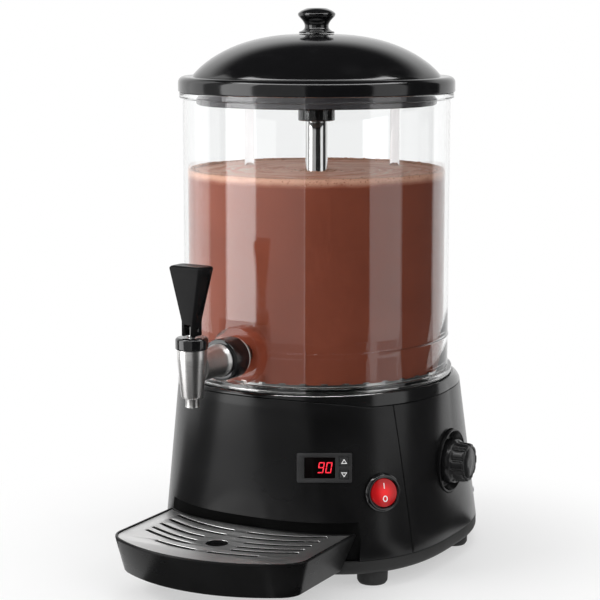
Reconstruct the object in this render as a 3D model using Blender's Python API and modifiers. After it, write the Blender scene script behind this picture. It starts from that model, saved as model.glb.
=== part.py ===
"""Hot chocolate dispenser: a clear heated tank with a stirrer and a tap, on a black base.

Lengths are in metres, +Z is up and the machine faces -Y. The pieces are laid out around the
tank's axis, and one root frame then puts the centre of the whole footprint at the origin.
"""
import math

import bmesh
import bpy
from mathutils import Matrix, Vector

MM = 0.001

# Fits that all the pieces share
FIT = 0.3 * MM              # gap between two pieces that touch
RUNNING = 0.6 * MM          # gap round a piece that moves
OVERRUN = 3.0 * MM          # how far a cutter passes the face that it cuts
WELD = 0.05 * MM            # merge distance of the turned shapes

# Base: plan and heights
BASE_HALF_WIDTH = 146.0 * MM
BASE_FRONT = 137.0 * MM
BASE_REAR = 167.0 * MM
TOP_HALF_WIDTH = 137.0 * MM
TOP_FRONT = 135.0 * MM
TOP_REAR = 161.0 * MM
BASE_SQUARENESS = 2.7       # exponent of the plan curve at the bottom, 2 is an ellipse
TOP_SQUARENESS = 2.0
PLAN_STEPS = 48
FOOT_HEIGHT = 13.6 * MM
PAN_HEIGHT = 13.4 * MM
SHELL_TOP = 171.3 * MM
SHELL_WALL = 3.0 * MM
SHELL_RIM = 1.0 * MM        # straight rim at the top of the shells
FRONT_CREST = 9.0 * MM      # how far the shells' top edge rises at the middle of the front
FRONT_CREST_REACH = math.radians(49.0)
FRONT_CREST_POWER = 2.2
SEAM_Y = 62.0 * MM          # the shells meet this far in front of the axis at the pan
SEAM_LEAN = 9.0 * MM        # and this much further at their top

# Base pan and feet
PAN_WALL = 3.0 * MM
PAN_FLOOR = 4.4 * MM
PAN_TUCK = 5.0 * MM         # how far the pan draws in at its lower edge
PAN_TUCK_RISE = 5.0 * MM
FOOT_RADIUS = 15.0 * MM
FOOT_TAPER = 2.0 * MM
FOOT_FRONT_INSET = (42.0 * MM, 54.0 * MM)   # from the base's side and front
FOOT_REAR_INSET = (26.0 * MM, 94.0 * MM)    # from the base's side and rear

# Top deck, which carries the tank
DECK_SKIRT = 1.2 * MM
DECK_EDGE = 0.8 * MM        # how far the shells' top stands outside the lip
DECK_LIP_OUT = 6.2 * MM     # how far the lip stands outside the tank's wall
DECK_LIP_HEIGHT = 12.3 * MM # above the top of the shells
DECK_LIP_DROP = 0.9 * MM
DECK_FLOOR_DROP = 8.4 * MM
DECK_OPENING_IN = 14.9 * MM # how far the opening lies inside the tank's wall
DECK_WALL = 3.0 * MM
DECK_STEP_IN = 5.9 * MM
DECK_SPIGOT = 5.3 * MM      # how far the deck reaches down inside the shells
SEAL_IN = 10.0 * MM
SEAL_OUT = 1.8 * MM

# Clear tank
TANK_RADIUS = 131.4 * MM
TANK_WALL = 4.0 * MM
TANK_HEIGHT = 276.2 * MM    # above the flange's underside
TANK_LIP = 3.4 * MM
TANK_LIP_HEIGHT = 6.0 * MM
FLANGE_OUT = 3.9 * MM
FLANGE_LIFT = 1.2 * MM      # gap above the deck's lip
FLANGE_HEIGHT = 5.8 * MM
TANK_LEDGE = 5.4 * MM
TANK_LEDGE_HEIGHT = 2.9 * MM
TANK_BEAD_RISE = 37.2 * MM  # above the flange's underside
TANK_BEAD = 0.6 * MM
TANK_TURN = math.radians(-5.0)      # the tank stands a little turned on the base
ROUND_STEPS = 40          # facets of the pieces that show
INNER_STEPS = 24          # facets of the pieces inside

# Steel floor of the tank, with the sleeve that the drive shaft comes up in
STEEL = 1.5 * MM
FLOOR_RIM = 3.8 * MM
GASKET_HEIGHT = 1.4 * MM
POT_IN = 25.4 * MM          # inside the tank's wall
POT_DEPTH = 34.8 * MM       # below the flange's underside
POT_TAPER = 2.0 * MM
CONE_RADIUS = 14.0 * MM
CONE_TOP_RADIUS = 12.0 * MM
CONE_HEIGHT = 32.0 * MM
CONE_RISE = 6.0 * MM
SLEEVE_BORE = 5.5 * MM
SLEEVE_WALL = 2.0 * MM
SLEEVE_DROP = 41.0 * MM     # below the tank's top

# Water bath, heater and drive in the base
BATH_RIM = 4.0 * MM
BATH_GAP = 1.0 * MM         # inside the deck's opening
BATH_ROOM = 26.0 * MM       # below the pot
BATH_TAPER = 1.0 * MM
BATH_SLEEVE_BORE = 8.0 * MM
BATH_SLEEVE = 48.0 * MM     # above the bath's bottom
HEATER_RING = 70.0 * MM
HEATER_ROD = 4.3 * MM
MOTOR_RADIUS = 38.0 * MM
MOTOR_NECK_RADIUS = 28.0 * MM
MOTOR_BOSS_RADIUS = 9.0 * MM
MOTOR_BODY_HEIGHT = 24.0 * MM
MOTOR_NECK_HEIGHT = 20.0 * MM
MOTOR_BOSS_HEIGHT = 5.0 * MM
MOTOR_SOCKET = 20.0 * MM
MOTOR_DROP = 16.1 * MM      # below the bath
BRACKET_SPAN = 104.0 * MM
BRACKET_DEPTH = 60.0 * MM
BRACKET_FOOT = 14.0 * MM
BRACKET_SHEET = 2.0 * MM
SHAFT_RADIUS = 4.5 * MM
SHAFT_DROP = 21.0 * MM      # below the tank's top
HEX_LENGTH = 14.0 * MM
HEX_RADIUS = 4.6 * MM
BUSH_LENGTH = 16.0 * MM
BLOCK_SIZE = (54.0 * MM, 26.0 * MM, 20.0 * MM)
BLOCK_PLACE = (-62.0 * MM, 88.0 * MM)

# Stirrer
STIRRER_RADIUS = 10.9 * MM
STIRRER_WALL = 2.3 * MM
STIRRER_LIFT = 9.2 * MM     # above the flange's underside
CAP_RADIUS = 18.2 * MM
CAP_DROP = 28.4 * MM        # below the tank's top
CAP_HEIGHT = 11.7 * MM
CAP_ROUND = 2.0 * MM
CAP_SEAT = 3.4 * MM
CAP_SOCKET_ROOM = 1.6 * MM
CAP_SPIGOT_RADIUS = 5.0 * MM
CAP_SPIGOT = 8.6 * MM
PADDLE_HUB_RADIUS = 16.0 * MM
PADDLE_HUB_HEIGHT = 18.0 * MM
PADDLE_IN = 33.4 * MM       # inside the tank's wall
PADDLE_HEIGHT = 46.0 * MM
PADDLE_THICKNESS = 3.0 * MM
PADDLE_LIFT = 1.6 * MM

# Lid
LID_RIM_OUT = 4.5 * MM      # outside the tank's wall
LID_DOME_IN = 9.6 * MM      # inside it
LID_RIM_HEIGHT = 14.6 * MM
LID_RIM_ROUND = 6.0 * MM
LID_DOME_RISE = 41.0 * MM
LID_DOME_POWER = 2.6
LID_DOME_ROOT = 1.2
LID_WALL = 3.0 * MM
LID_SKIRT_IN = 13.9 * MM    # inside it
LID_SKIRT_DEPTH = 12.4 * MM
LID_SKIRT_WALL = 2.5 * MM
LID_BOSS_RADIUS = 14.0 * MM
LID_BOSS_DROP = 1.0 * MM    # below the tank's top
DOME_STEPS = 7
DOME_INNER_STEPS = 4
PLATE_DROP = 10.6 * MM      # below the tank's top
PLATE_THICKNESS = 2.4 * MM
ROD_RADIUS = 5.0 * MM
ROD_HANG = 161.0 * MM       # below the tank's top
ROD_PLACES = ((-85.3 * MM, 15.5 * MM), (45.8 * MM, 85.2 * MM))
ROD_LUG_RADIUS = 7.6 * MM
ROD_LUG_HEIGHT = 4.0 * MM
BEARING_RADIUS = 9.0 * MM
BEARING_FLANGE = 15.0 * MM
BEARING_FLANGE_HEIGHT = 3.2 * MM
KNOB_FLANGE = 17.4 * MM
KNOB_FLANGE_HEIGHT = 1.8 * MM
KNOB_NECK = 11.6 * MM
KNOB_NECK_HEIGHT = 6.6 * MM
KNOB_CAP = 18.6 * MM
KNOB_CAP_HEIGHT = 18.6 * MM
KNOB_HEIGHT = 24.7 * MM
KNOB_CROWN = 10.0 * MM
KNOB_EDGE = 3.0 * MM
KNOB_EDGE_START = -75       # degrees
KNOB_EDGE_END = 60          # degrees
KNOB_EDGE_STEPS = 3
SCREW_RADIUS = 3.0 * MM
SCREW_HEAD = 5.4 * MM
SCREW_HEAD_HEIGHT = 4.0 * MM
SCREW_BITE = 12.0 * MM

# Tap, laid out from the tank's axis towards the front
TAP_RISE = 33.9 * MM        # above the tank flange's underside
TAP_REACH = 210.0 * MM
TAP_BOSS_RADIUS = 27.5 * MM
TAP_BOSS_OUT = 10.9 * MM    # outside the tank's wall
TAP_BOSS_SINK = 3.5 * MM    # inside it
TAP_THREAD = 9.2 * MM
TAP_THREAD_IN = 19.4 * MM
TAP_GASKET_RADIUS = 18.0 * MM
TAP_GASKET = 1.5 * MM
TAP_COLLAR_RADIUS = 19.6 * MM
TAP_COLLAR_SHARE = 0.34     # of the tap's reach beyond the boss
TAP_RING_RADIUS = 16.0 * MM
TAP_RING_SHARE = 0.0665
TAP_SHANK = 14.2 * MM
TAP_BORE = 6.0 * MM
TAP_NUT_RADIUS = 17.0 * MM
TAP_NUT_IN = 5.6 * MM
TAP_NUT = 9.0 * MM
BARREL_TOP_RADIUS = 13.5 * MM
BARREL_BOTTOM_RADIUS = 10.1 * MM
BARREL_TOP = 17.3 * MM      # above the shank's axis
BARREL_DROP = 28.1 * MM     # below it
SPOUT_RADIUS = 6.4 * MM
SPOUT_LENGTH = 8.3 * MM
BARREL_BORE = 9.5 * MM
SPOUT_BORE = 4.8 * MM
SEAT_TOP = 21.7 * MM        # below the shank's axis
SEAT_DEPTH = 7.0 * MM
BONNET_RADIUS = 15.1 * MM
BONNET_HEIGHT = 10.6 * MM
BONNET_ROUND = 1.4 * MM
STEM_RADIUS = 3.0 * MM
STEM_TOP_ABOVE_PIN = 3.0 * MM
CUP_RADIUS = 8.6 * MM
CUP_HEIGHT = 13.0 * MM
CUP_STEM_DEPTH = 6.0 * MM
PIN_ABOVE_BONNET = 6.8 * MM
PIN_RADIUS = 1.6 * MM
ROOT_SIZE = 14.0 * MM
ROOT_GAP = 1.2 * MM
ROOT_TOP_ABOVE_PIN = 8.0 * MM
CLEVIS_SLOT = 7.2 * MM
CLEVIS_TOP_ABOVE_PIN = 5.2 * MM
PADDLE_TOP_WIDTH = 36.3 * MM
PADDLE_TOP_DEPTH = 21.7 * MM
HANDLE_HEIGHT = 58.6 * MM   # above the pin
HANDLE_CROWN = 2.6 * MM
HANDLE_CORNER_SHARE = 0.2   # corner radius of the paddle as a share of its depth

# Display on the front
DISPLAY_X = 72.5 * MM
DISPLAY_Z = 116.7 * MM
BEZEL_SIZE = (52.0 * MM, 28.0 * MM)
BEZEL_CORNER = 1.6 * MM
BEZEL_PROUD = 1.0 * MM
BEZEL_DEPTH = 8.0 * MM
WINDOW_SIZE = (28.4 * MM, 19.2 * MM)
WINDOW_SHIFT = -4.4 * MM
WINDOW_THICKNESS = 1.2 * MM
WINDOW_SINK = 0.3 * MM
MODULE_DEPTH = 5.6 * MM
BOARD_THICKNESS = 1.6 * MM
BOARD_MARGIN = 1.0 * MM
KEY_SHIFT = 18.4 * MM
KEY_RISE = 6.2 * MM
KEY_SIZE = (8.4 * MM, 8.0 * MM)
KEY_PROUD = 0.4 * MM
KEY_TRAVEL = 0.5 * MM

# Power rocker on the front
ROCKER_X = 116.6 * MM
ROCKER_Z = 90.5 * MM
SWITCH_RIM_RADIUS = 18.6 * MM
SWITCH_RIM = 3.4 * MM
SWITCH_RIM_SEAT = 0.8 * MM
SWITCH_ROUND = 1.2 * MM
SWITCH_BODY_RADIUS = 15.8 * MM
SWITCH_DEPTH = 19.0 * MM
SWITCH_BORE = 14.3 * MM
SWITCH_BORE_DEPTH = 15.0 * MM
ROCKER_RADIUS = 13.5 * MM
ROCKER_BACK_RADIUS = 10.4 * MM
ROCKER_BACK = 9.0 * MM
ROCKER_FACE = 3.0 * MM
ROCKER_CROWN = 1.2 * MM
ROCKER_TILT = math.radians(7.0)

# Thermostat knob on the right side
KNOB_Y = 13.7 * MM
KNOB_Z = 102.0 * MM
DISH_RADIUS = 31.4 * MM
DISH_PROUD = 2.67 * MM      # outside the wall
DISH_DEPTH = 8.0 * MM
DISH_WALL = 2.4 * MM
DISH_HOLE = 4.4 * MM
DIAL_RADIUS = 21.8 * MM
DIAL_FACE_RADIUS = 19.0 * MM
DIAL_PROUD = 18.0 * MM      # outside the dish's rim
DIAL_SKIRT = 11.0 * MM
DIAL_GAP = 2.4 * MM
DIAL_FLUTES = 10
DIAL_FLUTE_RADIUS = 3.2 * MM
DIAL_FLUTE_OUT = 1.4 * MM
SPINDLE_RADIUS = 3.0 * MM
SPINDLE_BITE = 10.0 * MM
THERMOSTAT_RADIUS = 17.0 * MM
THERMOSTAT_LENGTH = 24.0 * MM
THERMOSTAT_SOCKET = 14.0 * MM

# Rear of the base
VENT_COUNT = 5
VENT_SIZE = (64.0 * MM, 3.2 * MM)
VENT_PITCH = 9.0 * MM
VENT_Z = 96.0 * MM
GLAND_ANGLE = math.radians(56.0)    # place along the plan curve, 90 degrees is the rear
GLAND_Z = 50.0 * MM
GLAND_RADIUS = 11.0 * MM
GLAND_THREAD = 8.0 * MM
GLAND_BORE = 4.6 * MM
GLAND_NOSE = 12.0 * MM
GLAND_FLANGE = 3.0 * MM
GLAND_TAIL = 9.0 * MM
GLAND_SEAT = 0.9 * MM
REAR_SCREW_ANGLE = math.radians(41.0)
REAR_SCREW_Z = 44.0 * MM
REAR_SCREW_SEAT = 0.5 * MM

# Drip tray and its shelf
TRAY_HALF_WIDTH = 101.0 * MM
TRAY_FRONT = 256.6 * MM
TRAY_BOW_RADIUS = 164.0 * MM
TRAY_CORNER = 15.0 * MM
TRAY_STEPS = 10
CORNER_STEPS = 3
TRAY_LIP = 54.7 * MM
TRAY_WALL = 2.6 * MM
TRAY_FLOOR = 2.6 * MM
TRAY_DRAFT = 9.0 * MM
TRAY_GAP = 6.4 * MM         # behind the tray, so that the grid lifts clear of the shell
NICHE_DEPTH = 6.0 * MM      # how far the tray's back stands in the front shell
NICHE_SIDE = 3.0 * MM       # room beside the tray there
NICHE_RISE = 9.3 * MM       # room above the tray's lip there
NICHE_STEPS = 12
TRAY_LEDGE = 3.4 * MM
TRAY_LIP_WIDTH = 2.4 * MM
GRID_THICKNESS = 2.0 * MM
GRID_SINK = 1.0 * MM
GRID_HOLE_RADIUS = 10.6 * MM
GRID_HOLE_Y = 198.0 * MM
SLOT_WIDTH = 5.0 * MM
SLOT_INNER = 6.0 * MM
SLOT_HOLE_INNER = 21.0 * MM
SHELF_HALF_WIDTH = 52.0 * MM
SHELF_SHEET = 2.0 * MM
SHELF_REACH = 212.0 * MM
SHELF_ROOT = 92.0 * MM

# The rounded corners of a flat outline, in the order of its points
QUARTER = 90                # degrees
CORNERS = ((1, 1), (-1, 1), (-1, -1), (1, -1))

# Each row of slots: its distance in front of the axis at the centre line, its inner end and its
# outer end. The rows next to the hole start further out.
SLOT_ROWS = (
    (155.0 * MM, SLOT_INNER, 82.0 * MM),
    (171.0 * MM, SLOT_INNER, 82.0 * MM),
    (187.0 * MM, SLOT_HOLE_INNER, 82.0 * MM),
    (201.0 * MM, SLOT_HOLE_INNER, 82.0 * MM),
    (212.0 * MM, SLOT_HOLE_INNER, 82.0 * MM),
    (226.0 * MM, SLOT_INNER, 55.0 * MM),
)

# Heights that follow from the sizes above
PAN_TOP = FOOT_HEIGHT + PAN_HEIGHT
SHELL_BOTTOM = PAN_TOP + FIT
PAN_FLOOR_TOP = FOOT_HEIGHT + PAN_FLOOR
DECK_LIP_TOP = SHELL_TOP + DECK_LIP_HEIGHT
DECK_FLOOR_TOP = DECK_LIP_TOP - DECK_FLOOR_DROP
FLANGE_BOTTOM = DECK_LIP_TOP + FLANGE_LIFT
FLANGE_TOP = FLANGE_BOTTOM + FLANGE_HEIGHT
LEDGE_TOP = FLANGE_BOTTOM + TANK_LEDGE_HEIGHT
TANK_TOP = FLANGE_BOTTOM + TANK_HEIGHT
TANK_BEAD_HEIGHT = FLANGE_BOTTOM + TANK_BEAD_RISE
TAP_HEIGHT = FLANGE_BOTTOM + TAP_RISE
GASKET_BOTTOM = LEDGE_TOP + FIT
FLOOR_UNDER = GASKET_BOTTOM + GASKET_HEIGHT + FIT
POT_BOTTOM = FLANGE_BOTTOM - POT_DEPTH
CONE_TOP = POT_BOTTOM + CONE_HEIGHT
SLEEVE_TOP = TANK_TOP - SLEEVE_DROP
BATH_BOTTOM = POT_BOTTOM - BATH_ROOM
BATH_SLEEVE_TOP = BATH_BOTTOM + BATH_SLEEVE
MOTOR_TOP = BATH_BOTTOM - MOTOR_DROP
MOTOR_BOTTOM = MOTOR_TOP - MOTOR_BODY_HEIGHT - MOTOR_NECK_HEIGHT - MOTOR_BOSS_HEIGHT
BRACKET_TOP = MOTOR_BOTTOM - FIT
SHAFT_TOP = TANK_TOP - SHAFT_DROP
STIRRER_BOTTOM = FLANGE_BOTTOM + STIRRER_LIFT
CAP_BOTTOM = TANK_TOP - CAP_DROP
LID_BOTTOM = TANK_TOP + FIT
LID_SHOULDER = LID_BOTTOM + LID_RIM_HEIGHT
LID_TOP = LID_SHOULDER + LID_DOME_RISE
LID_BOSS_BOTTOM = TANK_TOP - LID_BOSS_DROP
PLATE_BOTTOM = TANK_TOP - PLATE_DROP
ROD_BOTTOM = TANK_TOP - ROD_HANG
KNOB_BOTTOM = LID_TOP + FIT
BONNET_BOTTOM = BARREL_TOP + FIT
BONNET_TOP = BONNET_BOTTOM + BONNET_HEIGHT
PIN_HEIGHT = BONNET_TOP + PIN_ABOVE_BONNET
SHELF_TOP = PAN_FLOOR_TOP + FIT + SHELF_SHEET
TRAY_BOTTOM = SHELF_TOP + FIT
GRID_TOP = TRAY_LIP - GRID_SINK
GRID_BOTTOM = GRID_TOP - GRID_THICKNESS

# Radii and reaches that follow from the tank's wall
TANK_INNER = TANK_RADIUS - TANK_WALL
FLANGE_RADIUS = TANK_RADIUS + FLANGE_OUT
DECK_LIP_RADIUS = TANK_RADIUS + DECK_LIP_OUT
TOP_LEAST_RADIUS = DECK_LIP_RADIUS + DECK_EDGE
DECK_OPENING = TANK_RADIUS - DECK_OPENING_IN
DECK_STEP_RADIUS = TANK_RADIUS - DECK_STEP_IN
SEAL_INNER = TANK_RADIUS - SEAL_IN
SEAL_OUTER = TANK_RADIUS + SEAL_OUT
DECK_LIP_INNER = SEAL_OUTER + RUNNING
POT_RADIUS = TANK_RADIUS - POT_IN
BATH_RADIUS = DECK_OPENING - BATH_GAP
PADDLE_REACH = TANK_RADIUS - PADDLE_IN
LID_RIM_RADIUS = TANK_RADIUS + LID_RIM_OUT
LID_DOME_RADIUS = TANK_RADIUS - LID_DOME_IN
LID_SKIRT_RADIUS = TANK_RADIUS - LID_SKIRT_IN
TAP_BOSS_FACE = TANK_RADIUS + TAP_BOSS_OUT
TAP_BOSS_ROOT = TANK_RADIUS - TAP_BOSS_SINK
TAP_THREAD_END = TANK_RADIUS - TAP_THREAD_IN
TAP_NUT_FACE = TANK_RADIUS - TAP_NUT_IN
TAP_COLLAR = TAP_COLLAR_SHARE * (TAP_REACH - TAP_BOSS_FACE)
TAP_RING = TAP_RING_SHARE * (TAP_REACH - TAP_BOSS_FACE)

for old in list(bpy.data.objects):
    bpy.data.objects.remove(old, do_unlink=True)

PARTS = bpy.data.collections.new("hot_chocolate_dispenser")
CUTTERS = bpy.data.collections.new("cutters")
bpy.context.scene.collection.children.link(PARTS)
bpy.context.scene.collection.children.link(CUTTERS)


def material(name, color, roughness, metallic=0.0, alpha=1.0):
    """A Principled material with a plain colour."""
    made = bpy.data.materials.new(name)
    made.use_nodes = True
    shader = made.node_tree.nodes["Principled BSDF"]
    shader.inputs["Base Color"].default_value = (*color, 1.0)
    shader.inputs["Roughness"].default_value = roughness
    shader.inputs["Metallic"].default_value = metallic
    shader.inputs["Alpha"].default_value = alpha
    return made


BLACK_SATIN = material("black_satin", (0.022, 0.022, 0.024), 0.38)
BLACK_GLOSS = material("black_gloss", (0.012, 0.012, 0.013), 0.12)
BLACK_MATT = material("black_matt", (0.03, 0.03, 0.03), 0.6)
STEEL_BRUSHED = material("brushed_steel", (0.62, 0.62, 0.63), 0.28, 1.0)
STEEL_POLISHED = material("polished_steel", (0.75, 0.75, 0.76), 0.1, 1.0)
ZINC = material("zinc_plate", (0.5, 0.5, 0.52), 0.4, 1.0)
BRASS = material("brass", (0.72, 0.52, 0.22), 0.3, 1.0)
CLEAR = material("clear_tank", (0.92, 0.94, 0.95), 0.04, 0.0, 0.3)
RUBBER = material("rubber", (0.02, 0.02, 0.02), 0.8)
SILICONE = material("silicone", (0.72, 0.72, 0.7), 0.5)
WHITE_PLASTIC = material("white_plastic", (0.8, 0.8, 0.78), 0.4)
RED_LENS = material("red_lens", (0.75, 0.03, 0.02), 0.15)
SMOKED = material("smoked_window", (0.01, 0.008, 0.008), 0.08)
BOARD_GREEN = material("board_green", (0.03, 0.18, 0.08), 0.5)


def frame(name, parent=None, place=(0.0, 0.0, 0.0), turn=(0.0, 0.0, 0.0)):
    """An empty that carries pieces and marks a joint's axis."""
    made = bpy.data.objects.new(name, None)
    PARTS.objects.link(made)
    made.parent = parent
    made.location = place
    made.rotation_euler = turn
    return made


def keep(mesh, name, finish, parent, place=(0.0, 0.0, 0.0), turn=(0.0, 0.0, 0.0), smooth=True):
    """Link a mesh as one named piece of the machine."""
    made = bpy.data.objects.new(name, mesh)
    PARTS.objects.link(made)
    made.parent = parent
    made.location = place
    made.rotation_euler = turn
    mesh.materials.clear()
    mesh.materials.append(finish)
    if smooth:
        mesh.shade_smooth()
        mesh.set_sharp_from_angle(angle=math.radians(35))
    return made


def as_cutter(made):
    """Turn a piece into a cutter, which is never built."""
    PARTS.objects.unlink(made)
    CUTTERS.objects.link(made)
    made.hide_render = True
    made.display_type = "WIRE"
    return made


def cut(piece, tool, operation="DIFFERENCE"):
    """Cut a piece with a cutter, or join the cutter to it."""
    step = piece.modifiers.new(tool.name, "BOOLEAN")
    step.operation = operation
    step.solver = "EXACT"
    step.object = as_cutter(tool)
    return piece


def profile_mesh(name, points, closed):
    """A chain of edges in the XZ plane, for a Screw modifier."""
    mesh = bpy.data.meshes.new(name)
    rows = [(x, 0.0, z) for x, z in points]
    edges = [(i, i + 1) for i in range(len(rows) - 1)]
    if closed:
        edges.append((len(rows) - 1, 0))
    mesh.from_pydata(rows, edges, [])
    return mesh


def turned(name, points, finish, parent, closed=False, steps=24, **spot):
    """A turned piece: the profile runs down its outer side, and a closed one is a ring."""
    made = keep(profile_mesh(name, points, closed), name, finish, parent, smooth=False, **spot)
    screw = made.modifiers.new("turn", "SCREW")
    screw.steps = steps
    screw.render_steps = steps
    screw.use_merge_vertices = True
    screw.merge_threshold = WELD
    screw.use_smooth_shade = True
    return made


def box(name, size, finish, parent, place=(0.0, 0.0, 0.0), turn=(0.0, 0.0, 0.0), bevel=0.0):
    """A box of the given size about its own centre, with rounded edges where a bevel is given."""
    mesh = bpy.data.meshes.new(name)
    shape = bmesh.new()
    bmesh.ops.create_cube(shape, size=1.0)
    bmesh.ops.scale(shape, vec=Vector(size), verts=shape.verts)
    shape.to_mesh(mesh)
    shape.free()
    made = keep(mesh, name, finish, parent, place, turn, smooth=False)
    if bevel:
        edge = made.modifiers.new("edges", "BEVEL")
        edge.width = bevel
        edge.segments = 2
        edge.limit_method = "ANGLE"
    return made


def rod(name, radius, length, finish, parent, place=(0.0, 0.0, 0.0), turn=(0.0, 0.0, 0.0), steps=24):
    """A plain cylinder along its own Z, standing on its own origin."""
    mesh = bpy.data.meshes.new(name)
    shape = bmesh.new()
    bmesh.ops.create_cone(shape, cap_ends=True, segments=steps, radius1=radius, radius2=radius, depth=length)
    bmesh.ops.translate(shape, vec=(0.0, 0.0, length / 2), verts=shape.verts)
    shape.to_mesh(mesh)
    shape.free()
    return keep(mesh, name, finish, parent, place, turn)


def flat(name, outline, thickness, finish, parent, place=(0.0, 0.0, 0.0), turn=(0.0, 0.0, 0.0)):
    """A flat piece cut to an outline, made from a filled 2D curve and kept as a mesh."""
    curve = bpy.data.curves.new(name, "CURVE")
    curve.dimensions = "2D"
    curve.fill_mode = "BOTH"
    curve.extrude = thickness / 2
    line = curve.splines.new("POLY")
    line.points.add(len(outline) - 1)
    for point, (x, y) in zip(line.points, outline):
        point.co = (x, y, 0.0, 1.0)
    line.use_cyclic_u = True
    drawn = bpy.data.objects.new(name, curve)
    CUTTERS.objects.link(drawn)
    bpy.context.view_layer.update()
    solid = drawn.evaluated_get(bpy.context.evaluated_depsgraph_get())
    mesh = bpy.data.meshes.new_from_object(solid)
    shape = bmesh.new()
    shape.from_mesh(mesh)
    bmesh.ops.remove_doubles(shape, verts=shape.verts, dist=WELD)
    shape.to_mesh(mesh)
    shape.free()
    bpy.data.objects.remove(drawn, do_unlink=True)
    mesh.name = name
    return keep(mesh, name, finish, parent, place, turn, smooth=False)


def loft(name, rings, finish, parent, ring_shape=True, **spot):
    """A skin through rings of as many points each: a closed loop of rings, or capped at both ends."""
    mesh = bpy.data.meshes.new(name)
    shape = bmesh.new()
    rows = [[shape.verts.new(point) for point in ring] for ring in rings]
    pairs = list(zip(rows, rows[1:]))
    if ring_shape:
        pairs.append((rows[-1], rows[0]))
    for below, above in pairs:
        count = len(below)
        for i in range(count):
            j = (i + 1) % count
            shape.faces.new((below[i], below[j], above[j], above[i]))
    if not ring_shape:
        shape.faces.new(rows[-1])
        shape.faces.new(list(reversed(rows[0])))
    twisted = [face for face in shape.faces if len(face.verts) == 4]
    bmesh.ops.triangulate(shape, faces=twisted)
    bmesh.ops.recalc_face_normals(shape, faces=shape.faces)
    shape.to_mesh(mesh)
    shape.free()
    return keep(mesh, name, finish, parent, **spot)


def arc(centre, radius, start, end, steps):
    """Points along an arc, with angles in degrees."""
    found = []
    for i in range(steps + 1):
        angle = math.radians(start + (end - start) * i / steps)
        found.append((centre[0] + radius * math.cos(angle), centre[1] + radius * math.sin(angle)))
    return found


def power(value, exponent):
    """A signed power, for the plan curve."""
    return math.copysign(abs(value) ** exponent, value)


def wall_point(angle, height, inset=0.0):
    """A point of the base's outer wall: its plan changes from squarish below to round above."""
    share = (height - PAN_TOP) / (SHELL_TOP - PAN_TOP)
    share = min(max(share, 0.0), 1.0)
    spots = []
    for half, front, rear, square in (
        (BASE_HALF_WIDTH, BASE_FRONT, BASE_REAR, BASE_SQUARENESS),
        (TOP_HALF_WIDTH, TOP_FRONT, TOP_REAR, TOP_SQUARENESS),
    ):
        x = (half - inset) * power(math.cos(angle), 2 / square)
        y = (rear - front) / 2 + ((rear + front) / 2 - inset) * power(math.sin(angle), 2 / square)
        spots.append(Vector((x, y)))
    low, high = spots
    if high.length < TOP_LEAST_RADIUS - inset:
        high = high.normalized() * (TOP_LEAST_RADIUS - inset)
    return low.lerp(high, share)


def wall_ring(height, inset=0.0):
    """One level of the base's wall."""
    ring = []
    for i in range(PLAN_STEPS):
        spot = wall_point(2 * math.pi * i / PLAN_STEPS, height, inset)
        ring.append((spot.x, spot.y, height))
    return ring


def crest(spot):
    """Height of the shells' top edge over a point of the plan: it rises towards the front's middle."""
    away = abs(math.atan2(spot.x, -spot.y)) / FRONT_CREST_REACH
    return SHELL_TOP + FRONT_CREST * max(0.0, 1 - away ** FRONT_CREST_POWER)


def crest_ring(rise=0.0, inset=0.0):
    """The wall's outline along the shells' top edge."""
    ring = []
    for i in range(PLAN_STEPS):
        angle = 2 * math.pi * i / PLAN_STEPS
        height = crest(wall_point(angle, SHELL_TOP)) + rise
        spot = wall_point(angle, SHELL_TOP, inset)
        ring.append((spot.x, spot.y, height))
    return ring


def circle_ring(radius, height):
    """A circle about the tank's axis, with the points of the wall's rings."""
    ring = []
    for i in range(PLAN_STEPS):
        angle = 2 * math.pi * i / PLAN_STEPS
        ring.append((radius * math.cos(angle), radius * math.sin(angle), height))
    return ring


def wall_angle(x, height):
    """The plan angle of the front right wall at a distance from the centre line."""
    low, high = -math.pi / 2, 0.0
    for _ in range(40):
        middle = (low + high) / 2
        if wall_point(middle, height).x < x:
            low = middle
        else:
            high = middle
    return (low + high) / 2


def wall_front(x, height):
    """Where the front wall lies at a distance from the centre line."""
    return wall_point(wall_angle(abs(x), height), height).y


def wall_side(y, height):
    """How far the right wall lies from the centre line, at a distance behind the axis."""
    low, high = -math.pi / 2, math.pi / 2
    for _ in range(40):
        middle = (low + high) / 2
        if wall_point(middle, height).y < y:
            low = middle
        else:
            high = middle
    return wall_point(low, height).x


def dish_rim():
    """How far the rim of the knob's dish lies from the centre line."""
    return wall_side(KNOB_Y, KNOB_Z) + DISH_PROUD


def wall_frame(name, angle, height, parent):
    """A frame on the base's wall: its -Y points out of the wall and its Z up along it."""
    step = math.radians(1)
    spot = wall_point(angle, height)
    along = wall_point(angle + step, height) - wall_point(angle - step, height)
    along = Vector((along.x, along.y, 0.0)).normalized()
    rise = SHELL_WALL
    above = wall_point(angle, height + rise)
    below = wall_point(angle, height - rise)
    up = Vector((above.x - below.x, above.y - below.y, 2 * rise)).normalized()
    out = along.cross(up).normalized()
    up = out.cross(along).normalized()
    made = frame(name, parent)
    turn = Matrix((along, -out, up)).transposed().to_4x4()
    made.matrix_local = Matrix.Translation((spot.x, spot.y, height)) @ turn
    return made


def niche(name, reach, depth, low, high, outer, parent):
    """A block along the front wall, from behind it to in front of it, for the tray's niche."""
    back = []
    for i in range(NICHE_STEPS + 1):
        x = reach * (1 - 2 * i / NICHE_STEPS)
        back.append((x, wall_front(x, TRAY_BOTTOM) + depth))
    front = [(x, wall_front(x, TRAY_LIP) + outer) for x, _ in reversed(back)]
    rings = [[(x, y, height) for x, y in back + front] for height in (low, high)]
    return loft(name, rings, BLACK_SATIN, parent, ring_shape=False)


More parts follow.
